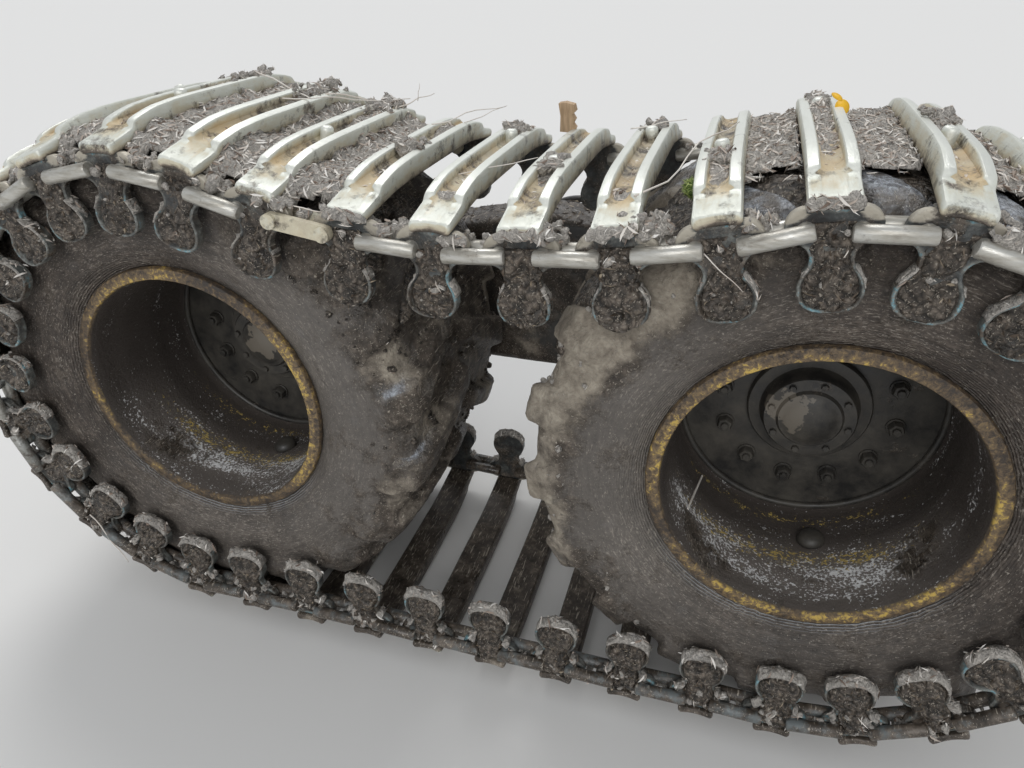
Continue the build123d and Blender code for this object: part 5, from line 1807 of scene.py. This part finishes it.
marked = wire(litter_tree, "GeometryNodeStoreNamedAttribute", {
    "Geometry": strewn.outputs[0], "Name": "shade", "Value": tone.outputs[1],
}, data_type="FLOAT", domain="INSTANCE")
real = wire(litter_tree, "GeometryNodeRealizeInstances", {"Geometry": marked.outputs[0]})
finished = wire(litter_tree, "GeometryNodeSetMaterial", {
    "Geometry": real.outputs[0], "Material": given.outputs["Finish"],
})
litter_tree.links.new(finished.outputs[0], out.inputs[0])

litters = {}
for name, tones_of in (
    ("spruce needles and straw", ((0.0, (0.11, 0.072, 0.050)), (0.20, (0.33, 0.255, 0.205)), (0.42, (0.57, 0.495, 0.43)),
                                  (0.68, (0.77, 0.72, 0.655)), (1.0, (0.87, 0.84, 0.79)))),
    ("moss leaves", ((0.0, (0.055, 0.090, 0.020)), (0.5, (0.19, 0.27, 0.06)), (1.0, (0.50, 0.56, 0.20)))),
    ("wet brown needles", ((0.0, (0.020, 0.014, 0.010)), (0.45, (0.075, 0.052, 0.034)), (0.80, (0.15, 0.115, 0.080)),
                           (1.0, (0.40, 0.33, 0.24)))),
):
    litters[name], tree, shader = paint_with(name, Roughness=0.5, Specular_IOR_Level=0.45)
    tones = wire(tree, "ShaderNodeValToRGB", {
        "Fac": wire(tree, "ShaderNodeAttribute", attribute_name="shade").outputs["Fac"],
    })
    tones.color_ramp.elements[0].color = (*tones_of[0][1], 1)
    tones.color_ramp.elements[1].color = (*tones_of[-1][1], 1)
    for place, colour in tones_of[1:-1]:
        tones.color_ramp.elements.new(place).color = (*colour, 1)
    tree.links.new(tones.outputs["Color"], shader.inputs["Base Color"])
needle_brown, moss_pale, needle_dark = litters.values()


def rod(path, radii, sides):
    """A closed rod along a bent path, with its own radius at each bend."""
    path = [Vector(p) for p in path]
    points, faces = [], []
    for i, (p, r) in enumerate(zip(path, radii)):
        way = (path[min(i + 1, len(path) - 1)] - path[max(i - 1, 0)]).normalized()
        side = way.cross(Vector((0.13, 0.21, 1))).normalized()
        up = side.cross(way)
        for a in np.arange(sides) * 2 * math.pi / sides:
            points.append(p + (side * math.cos(a) + up * math.sin(a)) * r)
    for i in range(len(path) - 1):
        for k in range(sides):
            n = (k + 1) % sides
            faces.append((i * sides + k, i * sides + n, (i + 1) * sides + n, (i + 1) * sides + k))
    faces += [tuple(range(sides)), tuple(range((len(path) - 1) * sides, len(path) * sides))]
    return points, faces


def spindle(path, radii, sides):
    """A closed shape pointed at both ends of a path, with its own radius at each inner bend."""
    points = [path[0]]
    for (x, y, z), r in zip(path[1:-1], radii):
        points += [(x, y + r * math.cos(a), z + r * math.sin(a)) for a in np.arange(sides) * 2 * math.pi / sides]
    points.append(path[-1])
    last = len(points) - 1
    faces = []
    for i in range(sides):
        j = (i + 1) % sides
        faces += [(0, 1 + i, 1 + j), (last, last - 1 - i, last - 1 - j)]
        for ring in range(len(radii) - 1):
            a, b = 1 + ring * sides, 1 + (ring + 1) * sides
            faces.append((a + i, a + j, b + j, b + i))
    return points, faces


def strewn_on(name, ground, pattern, body, slot, **inputs):
    """Litter over a mud mesh, as a piece of its own on the body that the mud rides on."""
    piece = bpy.data.objects.new(name, ground.data.copy())
    scene.collection.objects.link(piece)
    nodes_made(piece, litter_tree, {"Piece": pattern, **inputs})
    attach(piece, body)
    return piece


needle = recalculated(mesh_piece("needle", *spindle(
    ((-0.0100, 0, 0.0004), (0, 0.0010, 0.0016), (0.0100, 0, 0.0008)), (0.0013,), 3), False))
chip = recalculated(mesh_piece("chip", *spindle(
    ((-0.0055, 0, 0.0006), (0.001, 0.001, 0.0014), (0.0060, 0, 0.0004)), (0.0025,), 4), False))
strip = mesh_piece("strip", *spindle(
    ((-0.0150, 0, 0.0008), (-0.006, 0.0014, 0.0030), (0.006, 0.0010, 0.0030), (0.0150, -0.001, 0.0006)),
    (0.0027, 0.0025), 3), False)
strip.data.transform(Matrix.Diagonal((1, 1, 0.5, 1)))
recalculated(strip)
for ground, density, seed, finish in (
    (beds, 3050, 41, needle_brown), (channel_mud, 2200, 43, needle_brown), (crumb_piece, 1000, 45, needle_brown),
    (casting_box, 1100, 47, needle_dark), (rim_mud, 900, 49, needle_brown),
):
    label = ground.name.replace("track_", "")
    strewn_on(f"strips_on_{label}", ground, strip, "bogie", "track_steel", Density=density, Tilt=0.35,
              Smallest=0.45, Largest=1.15, Seed=seed, Finish=finish)
for ground, needles, chips, seed, finish in (
    (rim_mud, 1500, 300, 15, needle_brown), (casting_box, 900, 300, 17, needle_dark),
    (beds, 4700, 800, 3, needle_brown), (pan_mud, 1900, 260, 5, needle_dark),
    (channel_mud, 3600, 600, 7, needle_brown), (crumb_piece, 2400, 300, 9, needle_brown),
):
    label = ground.name.replace("track_", "")
    strewn_on(f"needles_on_{label}", ground, needle, "bogie", "track_steel", Density=needles, Tilt=0.45,
              Smallest=0.50, Largest=1.20, Seed=seed, Finish=finish)
    strewn_on(f"chips_on_{label}", ground, chip, "bogie", "track_steel", Density=chips, Tilt=0.5,
              Smallest=0.6, Largest=1.6, Seed=seed + 1, Finish=finish)

for end, ground in zip(WHEELS, tyre_crumbs):
    strewn_on(f"needles_on_tyre_{end}", ground, needle, f"wheel_{end}", "tyre_rubber", Density=1500, Tilt=0.35,
              Smallest=0.45, Largest=0.95, Seed=21, Finish=needle_brown)

# Twigs, each a bent stick from one place of the track to another, thinning towards its far end
twig_rows = (
    (3, 0.030, -0.330, 0.085, 4, 0.030, 0.020, 0.122, 0.0022), (3, -0.050, 0.15, 0.118, 3, 0.080, 0.17, 0.122, 0.0020),
    (0, -0.02, 0.10, 0.118, 1, -0.05, 0.26, 0.150, 0.0018), (1, -0.07, -0.20, 0.08, 2, -0.03, -0.13, 0.120, 0.0016),
    (36, -0.05, 0.00, 0.10, 37, 0.02, 0.16, 0.135, 0.0020), (5, 0.055, -0.386, 0.02, 5, 0.015, -0.402, -0.055, 0.0018),
    (35, 0.02, 0.18, 0.12, 36, 0.04, 0.05, 0.12, 0.0024), (6, 0.04, -0.395, 0.00, 7, -0.05, -0.40, 0.03, 0.0025),
    (4, -0.03, -0.402, -0.01, 4, 0.03, -0.406, -0.09, 0.0014), (27, 0.02, -0.42, -0.03, 26, 0.03, -0.44, 0.02, 0.0022),
    (31, 0.0, -0.41, -0.02, 30, 0.03, -0.43, 0.03, 0.0020), (37, -0.04, -0.38, 0.02, 0, -0.05, -0.39, 0.035, 0.0020),
    (37, 0.03, 0.22, 0.11, 37, 0.10, 0.30, 0.150, 0.0018), (37, 0.07, 0.26, 0.13, 37, 0.07, 0.26, 0.175, 0.0012),
    (36, 0.03, 0.15, 0.11, 37, 0.04, 0.28, 0.125, 0.0022), (0, 0.03, 0.20, 0.11, 0, 0.11, 0.31, 0.145, 0.0013),
)
sticks = []
for k, along, u, v, k_end, along_end, u_end, v_end, thick in twig_rows:
    start, stop = on_track(member_places[k], u, v, along), on_track(member_places[k_end], u_end, v_end, along_end)
    path = []
    for t in np.linspace(0, 1, 9):
        bend = start * 9 + Vector((t * 2.2, k, 0))
        sway = Vector([noise.noise(bend + Vector((0, 0, 7 * axis))) for axis in range(3)])
        path.append(start.lerp(stop, t) + sway * (stop - start).length * 0.07 * math.sin(t * math.pi))
    sticks.append(recalculated(mesh_piece("stick", *rod(path, np.linspace(thick, thick * 0.55, 9), 6))))
twigs = joined("track_twigs", sticks)
numbers(twigs.data, "shade", [0.62 + 0.3 * noise.noise(Vector(p) * 14) for p in points_of(twigs.data)])
twigs.data.materials.append(needle_brown)
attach(twigs, "bogie")

# Small finds: a yellow leaf on one rib, a splinter of wood on another, and a tuft of moss between two
leaf_yellow, tree, shader = paint_with("yellow autumn leaf", Base_Color=(0.88, 0.50, 0.020, 1), Roughness=0.55)
moss_green, tree, shader = paint_with("wet moss", Base_Color=(0.09, 0.15, 0.035, 1), Roughness=0.8)
split_wood, tree, shader = paint_with("split wood", Roughness=0.75)
wood_grain = wire(tree, "ShaderNodeTexNoise", {
    "Vector": wire(tree, "ShaderNodeMapping", {
        "Vector": wire(tree, "ShaderNodeTexCoord").outputs["Object"], "Scale": (180, 60, 22),
    }).outputs[0],
    "Scale": 1.0, "Detail": 5,
})
wood_tone = wire(tree, "ShaderNodeMix", {
    "Factor": wood_grain.outputs["Fac"], 6: (0.20, 0.11, 0.05, 1), 7: (0.78, 0.58, 0.38, 1),
}, data_type="RGBA")
tree.links.new(wood_tone.outputs[2], shader.inputs["Base Color"])
lobes = []
for centre, turn, length, wide in ((-0.014, 0.25, 0.015, 0.45), (0.013, -0.25, 0.017, 0.85)):
    rim_of = [(centre + length * math.cos(a) * math.cos(turn) - wide * length * math.sin(a) * math.sin(turn),
               length * math.cos(a) * math.sin(turn) + wide * length * math.sin(a) * math.cos(turn))
              for a in np.arange(18) * math.pi / 9]
    rows = [(a, b, 0.004 * math.cos(70 * a) * math.cos(60 * b) + lift) for lift in (0.0, 0.0007) for a, b in rim_of]
    shell = [(i, (i + 1) % 18, 18 + (i + 1) % 18, 18 + i) for i in range(18)]
    middle_points = [(centre, 0.0, 0.0034), (centre, 0.0, 0.0041)]
    caps = [(i + 18 * c, (i + 1) % 18 + 18 * c, 36 + c) for c in (0, 1) for i in range(18)]
    lobes.append(recalculated(mesh_piece("lobe", rows + middle_points, shell + caps)))
leaf = joined("yellow_leaf", lobes)
leaf.data.transform(Matrix.Translation(on_track(member_places[5], 0.072, 0.1170, 0.035))
                    @ Matrix.Rotation(0.78, 4, "X") @ Matrix.Rotation(-1.1, 4, "Z"))
leaf.data.materials.append(leaf_yellow)
chip_outline = ((-0.024, -0.038), (0.014, -0.036), (0.021, -0.022), (0.013, -0.012), (0.020, 0.000), (0.012, 0.012),
                (0.022, 0.022), (0.018, 0.038), (-0.006, 0.041), (-0.025, 0.036), (-0.021, 0.004))
around = len(chip_outline)
splinter = recalculated(mesh_piece(
    "wood_splinter", [(a, y, b) for y in (-0.006, 0.006) for a, b in chip_outline],
    [(i, (i + 1) % around, around + (i + 1) % around, around + i) for i in range(around)]
    + [tuple(range(around)), tuple(range(around, 2 * around))], False))
splinter.data.transform(Matrix.Translation(on_track(member_places[2], 0.235, 0.134, -0.046))
                        @ Matrix.Rotation(0.25, 4, "X") @ Matrix.Rotation(-0.2, 4, "Z"))
straw = recalculated(mesh_piece("straw_in_rim", *rod(
    ((0.5126, -0.428, 0.5434), (0.5250, -0.337, 0.5310), (0.5376, -0.2457, 0.5180)), (0.0028, 0.0030, 0.0026), 6), False))
numbers(straw.data, "shade", np.full(len(straw.data.vertices), 0.72))
straw.data.materials.append(needle_brown)
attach(straw, "wheel_front")
numbers(splinter.data, "shade", [0.52 + 0.9 * noise.noise(Vector(p) * 95) for p in points_of(splinter.data)])
splinter.data.materials.append(split_wood)
tuft = mesh_piece("moss_cushion", *prism(14, ((0.008, -0.022), (0.013, -0.013), (0.016, 0.0), (0.012, 0.013), (0.007, 0.020))))
tuft.data.transform(Matrix.Translation(on_track(member_places[4], -0.245, 0.066, -0.050)))
recalculated(tuft).data.materials.append(moss_green)
moss = strewn_on("moss_leaves", tuft, needle, "bogie", "track_steel", Density=90000, Tilt=1.5, Smallest=0.40,
                 Largest=1.2, Seed=31, Finish=moss_pale)
for piece in (leaf, splinter, tuft):
    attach(piece, "bogie")
for pattern in (needle, chip, strip):
    bpy.data.objects.remove(pattern)
